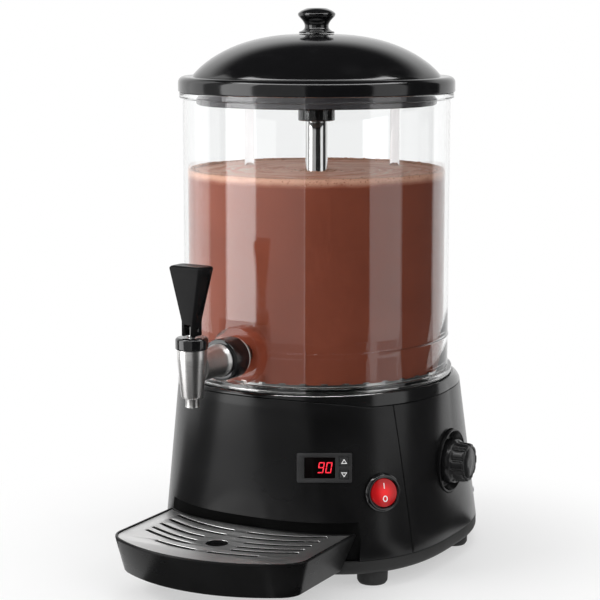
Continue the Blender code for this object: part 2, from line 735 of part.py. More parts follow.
def build_shells(parent):
    """The front and rear shells, cut from one wall, with the tray's niche in the front."""
    depth = BASE_REAR + BASE_FRONT
    width = 2 * (BASE_HALF_WIDTH + TOP_HALF_WIDTH)
    tall = 2 * SHELL_TOP
    levels = (SHELL_BOTTOM, (SHELL_BOTTOM + SHELL_TOP) / 2, SHELL_TOP - SHELL_RIM)
    lean = math.atan2(SEAM_LEAN, SHELL_TOP - PAN_TOP)

    def whole(name):
        rings = [wall_ring(z) for z in levels] + [crest_ring()]
        rings += [crest_ring(0.0, SHELL_WALL)] + [wall_ring(z, SHELL_WALL) for z in reversed(levels)]
        return loft(name, rings, BLACK_SATIN, parent)

    seam = frame("seam", parent, place=(0.0, -SEAM_Y, PAN_TOP), turn=(lean, 0.0, 0.0))
    front = whole("front_shell")
    cut(front, box("behind_seam", (width, depth, tall), BLACK_SATIN, seam, place=(0.0, (depth - FIT) / 2, 0.0)))
    rear = whole("rear_shell")
    cut(rear, box("before_seam", (width, depth, tall), BLACK_SATIN, seam, place=(0.0, (FIT - depth) / 2, 0.0)))

    reach = TRAY_HALF_WIDTH + NICHE_SIDE
    ceiling = TRAY_LIP + NICHE_RISE
    cut(front, niche("niche_lining", reach + SHELL_WALL, NICHE_DEPTH + SHELL_WALL, SHELL_BOTTOM,
                     ceiling + SHELL_WALL, SHELL_WALL / 2, parent), "UNION")
    cut(front, niche("niche_room", reach, NICHE_DEPTH, SHELL_BOTTOM - OVERRUN, ceiling, -TRAY_CORNER, parent))
    return front, rear


def build_base(parent):
    """The housing: pan, feet, shells, deck and seal."""
    low, mid = FOOT_HEIGHT, FOOT_HEIGHT + PAN_TUCK_RISE
    pan = loft("base_pan", [
        wall_ring(low, PAN_TUCK),
        wall_ring(mid),
        wall_ring(PAN_TOP),
        wall_ring(PAN_TOP, PAN_WALL),
        wall_ring(PAN_FLOOR_TOP, PAN_WALL + PAN_TUCK / 2),
    ], BLACK_MATT, parent, ring_shape=False)
    slot = (2 * SHELF_HALF_WIDTH + 2 * FIT, BASE_FRONT, SHELF_SHEET + 2 * FIT)
    shelf_z = SHELF_TOP - SHELF_SHEET / 2
    cut(pan, box("shelf_notch", slot, BLACK_MATT, parent,
                 place=(0.0, -SHELF_ROOT + FIT - slot[1] / 2, shelf_z)))

    foot_front = (BASE_HALF_WIDTH - FOOT_FRONT_INSET[0], BASE_FRONT - FOOT_FRONT_INSET[1])
    foot_rear = (BASE_HALF_WIDTH - FOOT_REAR_INSET[0], BASE_REAR - FOOT_REAR_INSET[1])
    for name, side, spot, way in (
        ("foot_front_left", -1, foot_front, -1),
        ("foot_front_right", 1, foot_front, -1),
        ("foot_rear_left", -1, foot_rear, 1),
        ("foot_rear_right", 1, foot_rear, 1),
    ):
        height = FOOT_HEIGHT - FIT
        turned(name, [(0.0, height), (FOOT_RADIUS, height), (FOOT_RADIUS, height - FOOT_TAPER),
                      (FOOT_RADIUS - FOOT_TAPER, 0.0), (0.0, 0.0)],
               RUBBER, parent, steps=20, place=(side * spot[0], way * spot[1], 0.0))

    spigot = SHELL_WALL + FIT
    spigot_bottom = SHELL_TOP - DECK_SPIGOT
    loft("top_deck", [
        crest_ring(FIT),
        crest_ring(FIT + DECK_SKIRT),
        circle_ring(DECK_LIP_RADIUS, DECK_LIP_TOP - DECK_LIP_DROP),
        circle_ring(DECK_LIP_RADIUS - DECK_LIP_DROP, DECK_LIP_TOP),
        circle_ring(DECK_LIP_INNER + DECK_LIP_DROP, DECK_LIP_TOP),
        circle_ring(DECK_LIP_INNER, DECK_LIP_TOP - DECK_LIP_DROP),
        circle_ring(DECK_LIP_INNER, DECK_FLOOR_TOP),
        circle_ring(DECK_OPENING, DECK_FLOOR_TOP),
        circle_ring(DECK_OPENING, DECK_FLOOR_TOP - DECK_WALL),
        circle_ring(DECK_STEP_RADIUS, DECK_FLOOR_TOP - DECK_WALL),
        wall_ring(spigot_bottom, spigot + DECK_WALL),
        wall_ring(spigot_bottom, spigot),
        crest_ring(FIT, spigot),
    ], BLACK_SATIN, parent)

    seal_bottom = DECK_FLOOR_TOP + FIT
    seal_top = FLANGE_BOTTOM - FIT
    turned("tank_seal", [(SEAL_OUTER, seal_top), (SEAL_OUTER, seal_bottom),
                         (SEAL_INNER, seal_bottom), (SEAL_INNER, seal_top)],
           RUBBER, parent, closed=True, steps=ROUND_STEPS)

    front, rear = build_shells(parent)
    depth = SHELF_REACH - SHELF_ROOT
    box("tray_shelf", (2 * SHELF_HALF_WIDTH, depth, SHELF_SHEET), ZINC, parent,
        place=(0.0, -SHELF_ROOT - depth / 2, shelf_z))
    return front, rear


def build_heating(parent):
    """The water bath in the deck, with the heater ring under it."""
    rim_bottom = DECK_FLOOR_TOP + FIT
    rim = DECK_OPENING + BATH_RIM
    turned("water_bath", [
        (rim, rim_bottom + STEEL),
        (rim, rim_bottom),
        (BATH_RADIUS, rim_bottom),
        (BATH_RADIUS - BATH_TAPER, BATH_BOTTOM),
        (BATH_SLEEVE_BORE, BATH_BOTTOM),
        (BATH_SLEEVE_BORE, BATH_SLEEVE_TOP),
        (BATH_SLEEVE_BORE + STEEL, BATH_SLEEVE_TOP),
        (BATH_SLEEVE_BORE + STEEL, BATH_BOTTOM + STEEL),
        (BATH_RADIUS - BATH_TAPER - STEEL, BATH_BOTTOM + STEEL),
        (BATH_RADIUS - STEEL, rim_bottom + STEEL),
    ], STEEL_BRUSHED, parent, closed=True, steps=INNER_STEPS)
    ring_z = BATH_BOTTOM - FIT - HEATER_ROD
    turned("heating_element", list(reversed(arc((HEATER_RING, ring_z), HEATER_ROD, 0, 315, 7))),
           STEEL_BRUSHED, parent, closed=True, steps=INNER_STEPS)


def build_drive(base, rotor):
    """The gear motor on its bracket, and the shaft that it turns."""
    half = BRACKET_SPAN / 2
    floor = PAN_FLOOR_TOP + FIT
    sheet = BRACKET_SHEET
    outline = [
        (-half - BRACKET_FOOT, floor), (-half + sheet, floor), (-half + sheet, BRACKET_TOP - sheet),
        (half - sheet, BRACKET_TOP - sheet), (half - sheet, floor), (half + BRACKET_FOOT, floor),
        (half + BRACKET_FOOT, floor + sheet), (half, floor + sheet), (half, BRACKET_TOP),
        (-half, BRACKET_TOP), (-half, floor + sheet), (-half - BRACKET_FOOT, floor + sheet),
    ]
    flat("motor_bracket", outline, BRACKET_DEPTH, ZINC, base, turn=(math.pi / 2, 0.0, 0.0))
    neck = MOTOR_BOTTOM + MOTOR_BODY_HEIGHT
    boss = neck + MOTOR_NECK_HEIGHT
    socket = MOTOR_TOP - MOTOR_SOCKET
    turned("gear_motor", [
        (SHAFT_RADIUS + FIT, MOTOR_TOP), (MOTOR_BOSS_RADIUS, MOTOR_TOP), (MOTOR_BOSS_RADIUS, boss),
        (MOTOR_NECK_RADIUS, boss), (MOTOR_NECK_RADIUS, neck), (MOTOR_RADIUS, neck),
        (MOTOR_RADIUS, MOTOR_BOTTOM), (0.0, MOTOR_BOTTOM), (0.0, socket), (SHAFT_RADIUS + FIT, socket),
    ], ZINC, base, closed=True)
    bush = BATH_BOTTOM + STEEL
    bore = SHAFT_RADIUS + FIT
    turned("shaft_bush", [
        (BATH_SLEEVE_BORE - FIT, bush + BUSH_LENGTH), (BATH_SLEEVE_BORE - FIT, bush),
        (bore, bush), (bore, bush + BUSH_LENGTH),
    ], BRASS, base, closed=True, steps=20)

    foot = socket + FIT
    shaft = rod("drive_shaft", SHAFT_RADIUS, SHAFT_TOP - HEX_LENGTH / 2 - foot, STEEL_POLISHED, rotor,
                place=(0.0, 0.0, foot))
    cut(shaft, rod("shaft_hexagon", HEX_RADIUS, HEX_LENGTH, STEEL_POLISHED, rotor,
                   place=(0.0, 0.0, SHAFT_TOP - HEX_LENGTH), steps=6), "UNION")


def build_tank(parent):
    """The clear wall with its flange, lip and tap boss, and the steel floor with its gasket."""
    bead = TANK_RADIUS + TANK_BEAD
    wall = turned("tank_wall", [
        (TANK_INNER, TANK_TOP),
        (TANK_RADIUS + TANK_LIP, TANK_TOP),
        (TANK_RADIUS + TANK_LIP, TANK_TOP - TANK_LIP_HEIGHT),
        (TANK_RADIUS, TANK_TOP - TANK_LIP_HEIGHT),
        (TANK_RADIUS, TANK_BEAD_HEIGHT + TANK_BEAD),
        (bead, TANK_BEAD_HEIGHT),
        (TANK_RADIUS, TANK_BEAD_HEIGHT - TANK_BEAD),
        (TANK_RADIUS, FLANGE_TOP),
        (FLANGE_RADIUS, FLANGE_TOP),
        (FLANGE_RADIUS, FLANGE_BOTTOM),
        (TANK_INNER - TANK_LEDGE, FLANGE_BOTTOM),
        (TANK_INNER - TANK_LEDGE, LEDGE_TOP),
        (TANK_INNER, LEDGE_TOP),
    ], CLEAR, parent, closed=True, steps=ROUND_STEPS)
    lying = (math.pi / 2, 0.0, 0.0)
    cut(wall, rod("tap_boss", TAP_BOSS_RADIUS, TAP_BOSS_FACE - TAP_BOSS_ROOT, CLEAR, parent,
                  place=(0.0, -TAP_BOSS_ROOT, TAP_HEIGHT), turn=lying, steps=32), "UNION")
    through = TAP_BOSS_FACE - TAP_THREAD_END + OVERRUN
    cut(wall, rod("tap_bore", TAP_THREAD + FIT, through, CLEAR, parent,
                  place=(0.0, -TAP_THREAD_END, TAP_HEIGHT), turn=lying))

    rim = TANK_INNER - FIT
    turned("floor_gasket", [
        (rim, GASKET_BOTTOM + GASKET_HEIGHT), (rim, GASKET_BOTTOM),
        (TANK_INNER - TANK_LEDGE, GASKET_BOTTOM), (TANK_INNER - TANK_LEDGE, GASKET_BOTTOM + GASKET_HEIGHT),
    ], SILICONE, parent, closed=True, steps=ROUND_STEPS)
    inside = FLOOR_UNDER + STEEL
    turned("tank_floor", [
        (rim, FLOOR_UNDER + FLOOR_RIM),
        (rim, FLOOR_UNDER),
        (POT_RADIUS, FLOOR_UNDER),
        (POT_RADIUS - POT_TAPER, POT_BOTTOM),
        (CONE_RADIUS, POT_BOTTOM),
        (CONE_TOP_RADIUS, CONE_TOP),
        (SLEEVE_BORE, CONE_TOP + CONE_RISE),
        (SLEEVE_BORE, SLEEVE_TOP),
        (SLEEVE_BORE + SLEEVE_WALL, SLEEVE_TOP),
        (SLEEVE_BORE + SLEEVE_WALL, CONE_TOP + CONE_RISE + STEEL),
        (CONE_TOP_RADIUS + STEEL, CONE_TOP + STEEL),
        (CONE_RADIUS + STEEL, POT_BOTTOM + STEEL),
        (POT_RADIUS - POT_TAPER - STEEL, POT_BOTTOM + STEEL),
        (POT_RADIUS - STEEL, inside),
        (rim - STEEL, inside),
        (rim - STEEL, FLOOR_UNDER + FLOOR_RIM),
    ], STEEL_BRUSHED, parent, closed=True, steps=ROUND_STEPS)


def build_stirrer(parent):
    """The tube over the sleeve, its drive cap and its paddle."""
    top = CAP_BOTTOM + CAP_SEAT - FIT
    inner = STIRRER_RADIUS - STIRRER_WALL
    turned("stirrer_tube", [
        (STIRRER_RADIUS, top), (STIRRER_RADIUS, STIRRER_BOTTOM), (inner, STIRRER_BOTTOM), (inner, top),
    ], STEEL_POLISHED, parent, closed=True)
    cap_top = CAP_BOTTOM + CAP_HEIGHT
    seat = STIRRER_RADIUS + FIT
    ceiling = SHAFT_TOP + CAP_SOCKET_ROOM
    socket = HEX_RADIUS + RUNNING
    cap = turned("stirrer_cap", [
        (0.0, cap_top + CAP_SPIGOT), (CAP_SPIGOT_RADIUS, cap_top + CAP_SPIGOT),
        (CAP_SPIGOT_RADIUS, cap_top), (CAP_RADIUS - CAP_ROUND, cap_top), (CAP_RADIUS, cap_top - CAP_ROUND),
        (CAP_RADIUS, CAP_BOTTOM), (seat, CAP_BOTTOM), (seat, CAP_BOTTOM + CAP_SEAT),
        (0.0, CAP_BOTTOM + CAP_SEAT),
    ], BLACK_GLOSS, parent)
    depth = ceiling - CAP_BOTTOM - CAP_SEAT
    cut(cap, rod("cap_socket", socket, depth + OVERRUN, BLACK_GLOSS, parent,
                 place=(0.0, 0.0, ceiling - depth - OVERRUN), steps=6))

    hub_bore = STIRRER_RADIUS + FIT
    foot = STIRRER_BOTTOM + PADDLE_LIFT
    paddle = turned("stirrer_paddle", [
        (PADDLE_HUB_RADIUS, foot + PADDLE_HUB_HEIGHT), (PADDLE_HUB_RADIUS, foot),
        (hub_bore, foot), (hub_bore, foot + PADDLE_HUB_HEIGHT),
    ], WHITE_PLASTIC, parent, closed=True)
    root = (hub_bore + PADDLE_HUB_RADIUS) / 2
    for side in (-1, 1):
        blade = [
            (side * root, foot), (side * PADDLE_REACH, foot),
            (side * PADDLE_REACH, foot + PADDLE_HEIGHT),
            (side * (PADDLE_REACH - PADDLE_HUB_HEIGHT), foot + PADDLE_HEIGHT),
            (side * root, foot + PADDLE_HUB_HEIGHT),
        ]
        if side < 0:
            blade.reverse()
        side_name = "left" if side < 0 else "right"
        cut(paddle, flat("blade_" + side_name, blade, PADDLE_THICKNESS, WHITE_PLASTIC, parent,
                         turn=(math.pi / 2, 0.0, 0.0)), "UNION")


def dome(radius, rise, base, steps):
    """The lid's dome from its top to its edge: flat on top and steeper near the edge."""
    found = []
    for i in range(1, steps + 1):
        share = math.sin(math.pi / 2 * i / steps)
        height = rise * (1 - share ** LID_DOME_POWER) ** (1 / LID_DOME_ROOT)
        found.append((radius * share, base + height))
    return found


def build_lid(parent):
    """The domed lid with its knob, and the plate, bearing and clear rods that hang from it."""
    hole = SCREW_RADIUS + FIT
    sink = SCREW_HEAD + FIT
    round_centre = (LID_RIM_RADIUS - LID_RIM_ROUND, LID_SHOULDER - LID_RIM_ROUND)
    skirt_inner = LID_SKIRT_RADIUS - LID_SKIRT_WALL
    skirt_bottom = LID_BOTTOM - LID_SKIRT_DEPTH
    inner_dome = dome(skirt_inner, LID_DOME_RISE - LID_WALL, LID_SHOULDER, DOME_INNER_STEPS)
    inner_dome = [point for point in reversed(inner_dome) if point[0] > LID_BOSS_RADIUS]
    profile = [(hole, LID_TOP)]
    profile += dome(LID_DOME_RADIUS, LID_DOME_RISE, LID_SHOULDER, DOME_STEPS)
    profile += list(reversed(arc(round_centre, LID_RIM_ROUND, 20, 90, 2)))
    profile += [
        (LID_RIM_RADIUS, LID_BOTTOM),
        (LID_SKIRT_RADIUS, LID_BOTTOM),
        (LID_SKIRT_RADIUS, skirt_bottom),
        (skirt_inner, skirt_bottom),
    ]
    profile += inner_dome
    profile += [
        (LID_BOSS_RADIUS, LID_TOP - LID_WALL - FIT),
        (LID_BOSS_RADIUS, LID_BOSS_BOTTOM),
        (sink, LID_BOSS_BOTTOM),
        (sink, LID_BOSS_BOTTOM + SCREW_HEAD_HEIGHT + FIT),
        (hole, LID_BOSS_BOTTOM + SCREW_HEAD_HEIGHT + FIT),
    ]
    turned("lid_dome", profile, BLACK_GLOSS, parent, closed=True, steps=ROUND_STEPS)

    bite = KNOB_BOTTOM + SCREW_BITE
    edge = (KNOB_CAP - KNOB_EDGE, KNOB_BOTTOM + KNOB_CAP_HEIGHT)
    knob = [(0.0, KNOB_BOTTOM + KNOB_HEIGHT), (KNOB_CROWN, KNOB_BOTTOM + KNOB_HEIGHT - KNOB_EDGE / 3)]
    knob += list(reversed(arc(edge, KNOB_EDGE, KNOB_EDGE_START, KNOB_EDGE_END, KNOB_EDGE_STEPS)))
    knob += [
        (KNOB_NECK, KNOB_BOTTOM + KNOB_NECK_HEIGHT + KNOB_EDGE),
        (KNOB_NECK, KNOB_BOTTOM + KNOB_NECK_HEIGHT - KNOB_EDGE),
        (KNOB_FLANGE, KNOB_BOTTOM + KNOB_FLANGE_HEIGHT),
        (KNOB_FLANGE, KNOB_BOTTOM),
        (hole, KNOB_BOTTOM), (hole, bite + FIT), (0.0, bite + FIT),
    ]
    turned("lid_knob", knob, BLACK_GLOSS, parent)
    head = LID_BOSS_BOTTOM
    turned("knob_screw", [
        (0.0, bite), (SCREW_RADIUS, bite), (SCREW_RADIUS, head + SCREW_HEAD_HEIGHT),
        (SCREW_HEAD, head + SCREW_HEAD_HEIGHT), (SCREW_HEAD, head), (0.0, head),
    ], ZINC, parent, steps=16)

    plate_top = PLATE_BOTTOM + PLATE_THICKNESS
    bearing_hole = BEARING_RADIUS + FIT
    plate = turned("lid_plate", [
        (skirt_inner - FIT, plate_top), (skirt_inner - FIT, PLATE_BOTTOM),
        (bearing_hole, PLATE_BOTTOM), (bearing_hole, plate_top),
    ], BLACK_MATT, parent, closed=True, steps=ROUND_STEPS)
    for number, (x, y) in enumerate(ROD_PLACES, 1):
        lug_bottom = PLATE_BOTTOM - ROD_LUG_HEIGHT
        cut(plate, rod(f"rod_lug_{number}", ROD_LUG_RADIUS, ROD_LUG_HEIGHT + PLATE_THICKNESS / 2, BLACK_MATT,
                       parent, place=(x, y, lug_bottom), steps=16), "UNION")
        cut(plate, rod(f"rod_hole_{number}", ROD_RADIUS + FIT, ROD_LUG_HEIGHT + PLATE_THICKNESS + 2 * OVERRUN,
                       BLACK_MATT, parent, place=(x, y, lug_bottom - OVERRUN), steps=16))
        rod(f"clear_rod_{number}", ROD_RADIUS, plate_top - ROD_BOTTOM, CLEAR, parent,
            place=(x, y, ROD_BOTTOM), steps=16)

    bore = CAP_SPIGOT_RADIUS + FIT
    flange_top = PLATE_BOTTOM - FIT
    turned("lid_bearing", [
        (BEARING_RADIUS, LID_BOSS_BOTTOM - FIT), (BEARING_RADIUS, flange_top),
        (BEARING_FLANGE, flange_top), (BEARING_FLANGE, flange_top - BEARING_FLANGE_HEIGHT),
        (bore, flange_top - BEARING_FLANGE_HEIGHT), (bore, LID_BOSS_BOTTOM - FIT),
    ], WHITE_PLASTIC, parent, closed=True)


def build_tap(tank):
    """The steel tap through the tank's boss. Its frame lies on the shank's axis."""
    tap = frame("tap_frame", tank, place=(0.0, 0.0, TAP_HEIGHT))
    lying = (math.pi / 2, 0.0, 0.0)
    collar_start = TAP_BOSS_FACE + TAP_GASKET + 2 * FIT
    ring_start = collar_start + TAP_COLLAR + FIT
    thread = TAP_THREAD + FIT
    body = turned("tap_body", [
        (0.0, TAP_REACH), (TAP_SHANK, TAP_REACH), (TAP_SHANK, ring_start + TAP_RING),
        (TAP_RING_RADIUS, ring_start + TAP_RING), (TAP_RING_RADIUS, ring_start), (TAP_THREAD, ring_start),
        (TAP_THREAD, TAP_THREAD_END), (0.0, TAP_THREAD_END),
    ], STEEL_BRUSHED, tap, turn=lying)
    spout_end = -BARREL_DROP - SPOUT_LENGTH
    cut(body, turned("tap_barrel", [
        (0.0, BARREL_TOP), (BARREL_TOP_RADIUS, BARREL_TOP), (BARREL_BOTTOM_RADIUS, -BARREL_DROP),
        (SPOUT_RADIUS, -BARREL_DROP), (SPOUT_RADIUS, spout_end), (0.0, spout_end),
    ], STEEL_BRUSHED, tap, place=(0.0, -TAP_REACH, 0.0)), "UNION")
    cut(body, turned("barrel_bore", [
        (0.0, BARREL_TOP + OVERRUN), (BARREL_BORE, BARREL_TOP + OVERRUN), (BARREL_BORE, -SEAT_TOP),
        (SPOUT_BORE, -SEAT_TOP - SEAT_DEPTH), (SPOUT_BORE, spout_end - OVERRUN), (0.0, spout_end - OVERRUN),
    ], STEEL_BRUSHED, tap, place=(0.0, -TAP_REACH, 0.0), steps=16))
    cut(body, rod("shank_bore", TAP_BORE, TAP_REACH - TAP_THREAD_END + OVERRUN, STEEL_BRUSHED, tap,
                  place=(0.0, -TAP_THREAD_END + OVERRUN, 0.0), turn=lying, steps=12))

    gasket_start = TAP_BOSS_FACE + FIT
    turned("tap_gasket", [
        (TAP_GASKET_RADIUS, gasket_start + TAP_GASKET), (TAP_GASKET_RADIUS, gasket_start),
        (thread, gasket_start), (thread, gasket_start + TAP_GASKET),
    ], SILICONE, tap, closed=True, turn=lying)
    turned("tap_collar", [
        (TAP_COLLAR_RADIUS, collar_start + TAP_COLLAR), (TAP_COLLAR_RADIUS, collar_start),
        (thread, collar_start), (thread, collar_start + TAP_COLLAR),
    ], BLACK_GLOSS, tap, closed=True, turn=lying)
    nut = rod("tap_back_nut", TAP_NUT_RADIUS, TAP_NUT, BLACK_MATT, tap,
              place=(0.0, TAP_NUT - TAP_NUT_FACE, 0.0), turn=lying, steps=6)
    cut(nut, rod("nut_bore", thread, TAP_NUT + 2 * OVERRUN, BLACK_MATT, tap,
                 place=(0.0, TAP_NUT - TAP_NUT_FACE + OVERRUN, 0.0), turn=lying))
    stem_hole = STEM_RADIUS + RUNNING
    turned("tap_bonnet", [
        (BONNET_RADIUS - BONNET_ROUND, BONNET_TOP), (BONNET_RADIUS, BONNET_TOP - BONNET_ROUND),
        (BONNET_RADIUS, BONNET_BOTTOM), (stem_hole, BONNET_BOTTOM), (stem_hole, BONNET_TOP),
    ], BLACK_GLOSS, tap, closed=True, place=(0.0, -TAP_REACH, 0.0))

    valve = frame("valve_lift", tap, place=(0.0, -TAP_REACH, 0.0))
    seat = SEAT_TOP + SEAT_DEPTH
    slope = SEAT_DEPTH / (BARREL_BORE - SPOUT_BORE)
    cup_foot = -seat + (BARREL_BORE - CUP_RADIUS) / 2 * slope + FIT
    cup_waist = -SEAT_TOP - (BARREL_BORE - CUP_RADIUS) * slope + 2 * FIT + RUNNING
    foot_radius = SPOUT_BORE + FIT
    stem_bottom = cup_foot + CUP_HEIGHT - CUP_STEM_DEPTH
    turned("seat_cup", [
        (STEM_RADIUS + FIT, cup_foot + CUP_HEIGHT), (CUP_RADIUS, cup_foot + CUP_HEIGHT),
        (CUP_RADIUS, cup_waist), (foot_radius, cup_foot + FIT + RUNNING), (0.0, cup_foot + FIT + RUNNING),
        (0.0, stem_bottom - FIT), (STEM_RADIUS + FIT, stem_bottom - FIT),
    ], SILICONE, valve, closed=True)
    stem_top = PIN_HEIGHT + STEM_TOP_ABOVE_PIN
    stem = rod("valve_stem", STEM_RADIUS, stem_top - stem_bottom, STEEL_POLISHED, valve,
               place=(0.0, 0.0, stem_bottom), steps=16)
    across = (0.0, math.pi / 2, 0.0)
    cut(stem, rod("stem_eye", PIN_RADIUS + FIT / 3, 2 * STEM_RADIUS + 2 * OVERRUN, STEEL_POLISHED, valve,
                  place=(-STEM_RADIUS - OVERRUN, 0.0, PIN_HEIGHT), turn=across, steps=12))
    rod("handle_pin", PIN_RADIUS, ROOT_SIZE, STEEL_POLISHED, valve,
        place=(-ROOT_SIZE / 2, 0.0, PIN_HEIGHT), turn=across, steps=12)

    pivot = frame("handle_pivot", valve, place=(0.0, 0.0, PIN_HEIGHT))
    low = ROOT_GAP - PIN_ABOVE_BONNET
    root = ROOT_SIZE
    sections = (
        (root, root, low),
        (root, root, ROOT_TOP_ABOVE_PIN),
        (PADDLE_TOP_WIDTH, PADDLE_TOP_DEPTH, HANDLE_HEIGHT - HANDLE_CROWN),
        (PADDLE_TOP_WIDTH - 2 * HANDLE_CROWN, PADDLE_TOP_DEPTH - 2 * HANDLE_CROWN, HANDLE_HEIGHT),
    )
    rings = []
    for width, depth, height in sections:
        corner = HANDLE_CORNER_SHARE * depth
        rings.append([(x, y, height) for x, y in rounded_outline(width, depth, corner)])
    handle = loft("tap_handle", rings, BLACK_GLOSS, pivot, ring_shape=False)
    slot_height = CLEVIS_TOP_ABOVE_PIN - low + OVERRUN
    cut(handle, box("clevis_slot", (CLEVIS_SLOT, 2 * root, slot_height), BLACK_GLOSS, pivot,
                    place=(0.0, 0.0, CLEVIS_TOP_ABOVE_PIN - slot_height / 2)))
    cut(handle, rod("handle_eye", PIN_RADIUS + FIT, root + 2 * OVERRUN, BLACK_GLOSS, pivot,
                    place=(-root / 2 - OVERRUN, 0.0, 0.0), turn=across, steps=12))


def rounded_outline(width, height, corner, steps=3):
    """A rectangle with round corners, about its centre."""
    points = []
    for i, (sx, sy) in enumerate(CORNERS):
        middle = (sx * (width / 2 - corner), sy * (height / 2 - corner))
        points += arc(middle, corner, i * QUARTER, (i + 1) * QUARTER, steps)
    return points


def build_display(parent, front):
    """The display: bezel, smoked window, red module, board and two keys, in the front shell."""
    panel = wall_frame("display_frame", wall_angle(DISPLAY_X, DISPLAY_Z), DISPLAY_Z, parent)
    upright = (math.pi / 2, 0.0, 0.0)
    width, height = BEZEL_SIZE
    middle = BEZEL_DEPTH / 2 - BEZEL_PROUD
    outline = rounded_outline(width, height, BEZEL_CORNER)
    bezel = flat("display_bezel", outline, BEZEL_DEPTH, BLACK_SATIN, panel,
                 place=(0.0, middle, 0.0), turn=upright)
    window_hole = (WINDOW_SIZE[0] + 2 * FIT, BEZEL_DEPTH + 2 * OVERRUN, WINDOW_SIZE[1] + 2 * FIT)
    cut(bezel, box("window_hole", window_hole, BLACK_SATIN, panel, place=(WINDOW_SHIFT, middle, 0.0)))
    key_hole = (KEY_SIZE[0] + 2 * FIT, BEZEL_DEPTH + 2 * OVERRUN, KEY_SIZE[1] + 2 * FIT)
    for name, rise in (("up", KEY_RISE), ("down", -KEY_RISE)):
        cut(bezel, box(name + "_hole", key_hole, BLACK_SATIN, panel, place=(KEY_SHIFT, middle, rise)))
    clear = 2 * FIT
    cut(front, box("display_opening", (width + clear, 2 * SHELL_WALL + 2 * BEZEL_DEPTH, height + clear),
                   BLACK_SATIN, panel))
    window_y = WINDOW_SINK - BEZEL_PROUD + WINDOW_THICKNESS / 2
    box("display_window", (WINDOW_SIZE[0], WINDOW_THICKNESS, WINDOW_SIZE[1]), SMOKED, panel,
        place=(WINDOW_SHIFT, window_y, 0.0))
    module_y = window_y + WINDOW_THICKNESS / 2 + FIT + MODULE_DEPTH / 2
    box("display_module", (WINDOW_SIZE[0] - clear, MODULE_DEPTH, WINDOW_SIZE[1] - clear), RED_LENS, panel,
        place=(WINDOW_SHIFT, module_y, 0.0))
    back = BEZEL_DEPTH - BEZEL_PROUD + FIT
    board_y = back + BOARD_THICKNESS / 2
    box("display_board", (width - 2 * BOARD_MARGIN, BOARD_THICKNESS, height - 2 * BOARD_MARGIN), BOARD_GREEN,
        panel, place=(0.0, board_y, 0.0))
    key_depth = BEZEL_DEPTH + KEY_PROUD - KEY_TRAVEL - FIT
    key_y = key_depth / 2 - BEZEL_PROUD - KEY_PROUD
    for name, rise in (("up", KEY_RISE), ("down", -KEY_RISE)):
        slide = frame(name + "_slide", panel, place=(KEY_SHIFT, 0.0, rise))
        box(name + "_button", (KEY_SIZE[0], key_depth, KEY_SIZE[1]), BLACK_SATIN, slide,
            place=(0.0, key_y, 0.0))


def build_switch(parent, front):
    """The round power switch: its housing in the front shell and the red rocker in it."""
    panel = wall_frame("switch_frame", wall_angle(ROCKER_X, ROCKER_Z), ROCKER_Z, parent)
    facing = (math.pi / 2, 0.0, 0.0)
    proud = SWITCH_RIM_SEAT + SWITCH_RIM
    turned("rocker_housing", [
        (SWITCH_BORE, proud), (SWITCH_RIM_RADIUS - SWITCH_ROUND, proud),
        (SWITCH_RIM_RADIUS, proud - SWITCH_ROUND), (SWITCH_RIM_RADIUS, SWITCH_RIM_SEAT),
        (SWITCH_BODY_RADIUS, SWITCH_RIM_SEAT), (SWITCH_BODY_RADIUS, -SWITCH_DEPTH), (0.0, -SWITCH_DEPTH),
        (0.0, proud - SWITCH_BORE_DEPTH), (SWITCH_BORE, proud - SWITCH_BORE_DEPTH),
    ], BLACK_GLOSS, panel, closed=True, turn=facing)
    reach = SWITCH_RIM_SEAT + 2 * OVERRUN
    cut(front, rod("switch_opening", SWITCH_BODY_RADIUS + FIT, SWITCH_DEPTH + reach, BLACK_SATIN, panel,
                   place=(0.0, SWITCH_DEPTH, 0.0), turn=facing))
    pivot = frame("rocker_pivot", panel, place=(0.0, ROCKER_FACE - proud, 0.0), turn=(-ROCKER_TILT, 0.0, 0.0))
    turned("power_rocker", [
        (0.0, ROCKER_FACE + ROCKER_CROWN / 2), (ROCKER_RADIUS / 2, ROCKER_FACE + ROCKER_CROWN / 4),
        (ROCKER_RADIUS - ROCKER_CROWN / 2, ROCKER_FACE - ROCKER_CROWN / 2),
        (ROCKER_RADIUS, ROCKER_FACE - ROCKER_CROWN), (ROCKER_BACK_RADIUS, -ROCKER_BACK), (0.0, -ROCKER_BACK),
    ], RED_LENS, pivot, turn=facing)


